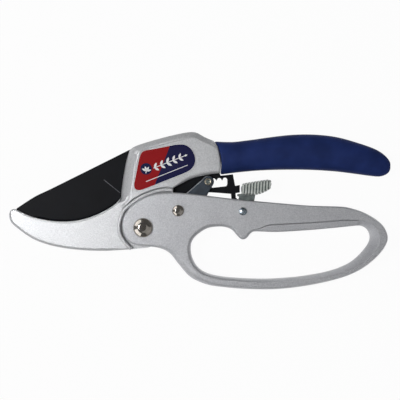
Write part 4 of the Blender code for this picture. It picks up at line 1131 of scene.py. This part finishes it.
def makeLabel(form):
    low, high = nodeBox("label_plate")
    base = softPlate("labelBorder", labelLine(), [], low.z, high.z - form["borderDeep"],
                     evenEdge(0.1, 0.08), [whiteInk])
    shade(base)
    seat(base, "frame", "printed_label", "label_plate")
    inside = grown(labelLine(), -form["border"])

    def printed(name, outline, layer, ink=whiteInk):
        below, above = form[layer]
        inkShape = plainCutter(name, outline, high.z - below, high.z - above, [ink])
        shade(inkShape)
        seat(inkShape, "frame", "printed_label")

    for name, left, ink in (("labelRedField", False, redInk), ("labelNavyField", True, navyInk)):
        printed(name, clipped(inside, form["splitTop"], form["splitLow"], left), "fieldLayer", ink)
    printed("labelBadge", circle(form["badge"], form["badgeR"], 40), "badgeLayer", navyInk)
    x, y = form["badge"]
    for i, turn in enumerate((60, 105, 15, 150)):
        leaf = leafLine((x + 0.1, y - 1.2), math.radians(turn), 2.7, 1.1)
        printed("badgeLeaf" + str(i + 1), leaf, "markLayer")
    printed("badgeStem", barLine((x - 0.2, y - 2.3), (x + 0.15, y - 0.9), 0.5), "markLayer")
    start, end = Vector(form["twigFrom"]), Vector(form["twigTo"])
    lean = math.atan2(end.y - start.y, end.x - start.x)
    printed("twigStem", barLine(start, end, 0.4), "stemLayer")
    for i in range(form["leafPairs"]):
        share = (i + 0.15) / form["leafPairs"]
        size = 1.0 - 0.3 * abs(share - 0.4)
        for side, turn in (("Upper", 1), ("Lower", -1)):
            leaf = leafLine(start.lerp(end, share), lean + turn * math.radians(form["leafSpread"]),
                            form["leafLong"] * size, form["leafWide"] * size)
            printed("twigLeaf" + side + str(i + 1), leaf, "markLayer")
    printed("twigTip", leafLine(end, lean, 2.0, 1.0), "markLayer")
    printed("labelRule", barLine(form["ruleFrom"], form["ruleTo"], 0.35), "markLayer")


makeLabel(labelForm)
print("label made")


# rivets and pins

rivetForm = {
    "proud": 0.3, "bevel": 0.35, "headEdge": 0.15, "rimHigh": 0.12, "domeStart": 0.25,
    "crown": [  # shares of the head's radius and height: rolled rim, shoulder and flat middle
        (0.985, 0.24), (0.965, 0.33), (0.93, 0.42), (0.88, 0.494), (0.8, 0.594), (0.72, 0.692),
        (0.64, 0.79), (0.57, 0.872), (0.51, 0.93), (0.46, 0.965), (0.41, 0.985), (0.35, 0.995),
        (0.2, 1.0), (0.01, 0.996)]}


def domeProfile(radius, height, base, steps):
    sphere = (radius * radius + height * height) / (2 * height)
    span = math.asin(min(1.0, radius / sphere))
    turns = [span * (1 - i / steps) for i in range(steps)]
    return [(sphere * math.sin(a), base + height - sphere * (1 - math.cos(a))) for a in turns]


def makeRivet(name, centre, node, shape, material):
    low, high = nodeBox(node)
    form = rivetForm
    face = midZ + handleForm["half"] + form["proud"]
    back = midZ - handleForm["half"] - form["proud"]
    radius, bevel = shape["headR"], form["bevel"]
    profile = [(radius - bevel, low.z), (radius - 0.1, low.z + 0.1), (radius, low.z + bevel),
               (radius, back), (shape["shankR"], back), (shape["shankR"], face),
               (radius - form["headEdge"], face), (radius, face + form["rimHigh"])]
    if shape.get("dimple"):
        start = form["domeStart"]
        profile += domeProfile(radius, high.z - face - start, face + start, 14)
        profile += [(shape["dimple"], high.z - 0.1), (shape["dimple"] * 0.7, high.z - 0.35),
                    (0.05, high.z - 0.45)]
    else:
        rise = high.z - face
        profile += [(radius * out, face + rise * up) for out, up in form["crown"]]
    rivet = turnedPiece(name, centre, profile, [material])
    shade(rivet, 32, weighted=False)
    return rivet


seat(makeRivet("mainRivet", mainPivot, "main_rivet", {"shankR": 4.0, "headR": 5.2}, rivetChrome),
     "frame", "bright_plate", "main_rivet")
seat(makeRivet("linkRivet", linkPivot, "link_rivet", {"shankR": 1.7, "headR": 3.1}, rivetChrome),
     "handle", "bright_plate", "link_rivet")
seat(makeRivet("catchPin", latchPivot, "latch_pin", {"shankR": 1.3, "headR": 2.1, "dimple": 0.9},
               zincSteel), "handle", "zinc_steel", "latch_pin")


def makeRatchetPin(centre):
    low, high = nodeBox("ratchet_pin")
    head, shank = 1.9, bladeForm["pinR"]
    profile = [(1.5, low.z), (head, low.z + 0.3), (head, low.z + 0.5), (shank, low.z + 0.5),
               (shank, high.z - 0.5), (head, high.z - 0.5), (head, high.z - 0.25),
               (1.75, high.z - 0.08), (1.5, high.z), (1.15, high.z - 0.06), (0.85, high.z - 0.3),
               (0.05, high.z - 0.36)]
    # painted shade: the sunken middle of the pin's head is coloured dark
    shadedBands = (len(profile) - 3, len(profile) - 2)
    pin = turnedPiece("ratchetPin", centre, profile, [pinSteel, recessShade], second=shadedBands)
    shade(pin, 32, weighted=False)
    return pin


seat(makeRatchetPin(bladeForm["pin"]), "link", "zinc_steel", "ratchet_pin")
print("pins made")


# link plates

linkForm = {
    "toeR": 4.2, "topR": 3.2, "pinBore": 1.6,
    "highlightLow": 0.3, "highlightHigh": 0.97, "highlightFacing": 0.35}  # slopes that get the painted highlight


def makeLinkPlates(form, pin):
    toe = arcPoints(linkPivot, form["toeR"], 135, 290, 22)
    heel = smoothRun([(27.2, 6.6), (31.4, 11.4), (33.9, 16.8)], 6)
    top = arcPoints(pin, form["topR"], -20, 150, 20)
    outline = joinRuns(toe, heel, top)
    edges = stationsBlend([
        (20, 14, "slope", 0.8, 0.56), (24, 19, "slope", 0.8, 0.56), (28, 23, "slope", 0.8, 0.56),
        (33, 27.5, "round", 0.4, 0.4), (38, 25, "round", 0.4, 0.4), (35, 19, "slope", 0.5, 0.4),
        (30, 9, "round", 0.4, 0.4), (16, 6, "round", 0.4, 0.4)])
    for name, node in (("linkPlateFront", "link_plate_front"), ("linkPlateRear", "link_plate_rear")):
        low, high = nodeBox(node)
        holes = [circle(linkPivot, handleForm["linkBore"], 40), circle(pin, form["pinBore"], 40)]
        plate = softPlate(name, outline, holes, low.z, high.z, edges, [linkSteel, bevelHighlightSteel])
        for face in plate.data.polygons:  # painted highlight: bevel faces sloping up and to the left get the bright steel, as if catching the light
            sloping = form["highlightLow"] < abs(face.normal.z) < form["highlightHigh"]
            facingLight = sloping and face.normal.y - face.normal.x > form["highlightFacing"]
            face.material_index = 1 if facingLight else 0
        shade(plate)
        seat(plate, "link", "blue_grey_steel", node)


makeLinkPlates(linkForm, bladeForm["pin"])
print("links made")


# catch: plate and ribbed thumb pad

catchForm = {
    "hubR": 3.9, "ribs": 10, "ribStart": 0.9, "ribPitch": 1.58, "ribWidth": 0.9, "ribLean": 0.72,
    "ribHeight": 0.6, "ribPast": 2.0, "slotHalf": 1.8, "slotGap": 0.3}


def padLine():
    return smoothLoop([
        (52.1, 20.0), (52.3, 22.2), (53.6, 23.6), (57.5, 24.4), (63.9, 25.4), (67.0, 25.7),
        (68.8, 24.7), (69.1, 22.7), (68.0, 20.9), (65.5, 19.3), (62.3, 18.0), (58.5, 17.4),
        (54.2, 17.7), (52.6, 18.5)], 6)


def catchLine(growth=0.0):
    hub = arcPoints(latchPivot, catchForm["hubR"], 170, 350, 20)
    rest = [(59.6, 14.6), (60.2, 17.8), (61.0, 21.4), (60.2, 22.2), (56.0, 21.6), (55.2, 20.8),
            (54.4, 18.2), (50.6, 18.0), (50.4, 17.0), (51.4, 16.6), (50.6, 13.0)]
    return grown(joinRuns(hub, rest), growth)


def makeCatch(form):
    low, high = nodeBox("latch_plate")
    hole = circle(latchPivot, handleForm["latchBore"], 40)
    plate = softPlate("catchPlate", catchLine(), [hole], low.z, high.z, evenEdge(0.2, 0.2),
                      [catchSteel])
    shade(plate)
    seat(plate, "latch", "blue_grey_steel", "latch_plate")
    padLow, padHigh = nodeBox("latch_thumb_pad")
    sunk = form["ribHeight"]
    # painted shade: the pad's core, seen between the ribs, is coloured dark
    pad = softPlate("thumbPad", grown(padLine(), -sunk), [], padLow.z + sunk, padHigh.z - sunk,
                    evenEdge(0.7, 0.7, 4), [recessShade])
    ribs = []
    for i in range(form["ribs"]):
        x = padLow.x + form["ribStart"] + form["ribPitch"] * i
        lean, width = form["ribLean"], form["ribWidth"]
        slab = plainCutter("ribSlab", [
            (x - lean, 12.0), (x - lean + width, 12.0), (x + lean + width, 30.0), (x + lean, 30.0)],
            padLow.z - form["ribPast"], padHigh.z + form["ribPast"], [padAlloy])
        rib = softPlate("rib", padLine(), [], padLow.z, padHigh.z, evenEdge(0.8, 0.8, 5), [padAlloy])
        combine(rib, [slab], "INTERSECT")
        ribs.append(rib)
    combine(pad, ribs, "UNION")
    combine(pad, [plainCutter("padSlot", catchLine(form["slotGap"]), midZ - form["slotHalf"],
                              midZ + form["slotHalf"])])
    shade(pad)
    seat(pad, "latch", "bare_alloy", "latch_thumb_pad")


makeCatch(catchForm)
print("catch made")


# hidden hardware: spring, bush, spacers, washers and blade pin

springForm = {
    "coilR": 3.7, "height": 2.2, "turns": 2.6, "lowLeg": 10.0, "topLeg": 6.0, "wireR": 0.4,
    "stepsPerTurn": 40, "startAngle": -90}


def makeSpring(form):
    radius, rise = form["coilR"], form["height"]
    bottom = midZ - rise / 2
    path = [(linkPivot.x + form["lowLeg"], linkPivot.y - radius, bottom)]
    steps = int(form["turns"] * form["stepsPerTurn"])
    for i in range(steps + 1):
        angle = math.radians(form["startAngle"] - 360 * form["turns"] * i / steps)
        path.append((linkPivot.x + radius * math.cos(angle), linkPivot.y + radius * math.sin(angle),
                     bottom + rise * i / steps))
    x, y, top = path[-1]
    leg = form["topLeg"]
    path.append((x + leg * math.sin(angle), y - leg * math.cos(angle), top))
    spring = sweptWire("returnSpring", path, form["wireR"], [springWire])
    shade(spring, 50, weighted=False)
    return spring


seat(makeSpring(springForm), "handle", "spring_steel", "return_spring")


def makeCollar(name, node, centre, bore, body, slotName, material):
    low, high = nodeBox(node)
    outside = (high.x - low.x) / 2
    rim = 0.12
    profile = [(bore + rim, low.z), (outside - rim, low.z), (outside, low.z + rim),
               (outside, high.z - rim), (outside - rim, high.z), (bore + rim, high.z),
               (bore, high.z - rim), (bore, low.z + rim)]
    collar = turnedPiece(name, centre, profile, [material], hollow=True)
    shade(collar, 32, weighted=False)
    seat(collar, body, slotName, node)


for side in ("front", "rear"):
    makeCollar("pivotWasher" + side.title(), "pivot_washer_" + side, mainPivot,
               castingForm["mainBore"], "frame", "nylon", washerNylon)
    makeCollar("catchSpacer" + side.title(), "latch_spacer_" + side, latchPivot,
               handleForm["latchBore"], "handle", "nylon", washerNylon)
makeCollar("linkBush", "link_bush", linkPivot, handleForm["linkBore"], "handle", "zinc_steel",
           zincSteel)


def makeBladePin(centre):
    low, high = nodeBox("blade_pivot_pin")
    outside = (high.x - low.x) / 2
    form = castingForm  # the pin ends in a blind bore under the label
    boreEnd = midZ + form["panelHalf"] - form["labelSeat"] - form["boreCover"]
    top = min(high.z, boreEnd - 0.05)
    bevel = 0.4
    profile = [(0.7, low.z + 0.3), (1.1, low.z), (outside - bevel, low.z),
               (outside, low.z + bevel), (outside, top - bevel), (outside - bevel, top)]
    pin = turnedPiece("bladePivotPin", centre, profile, [zincSteel])
    shade(pin, 32, weighted=False)
    seat(pin, "frame", "zinc_steel", "blade_pivot_pin")


makeBladePin(bladePivot)
print("hardware made")
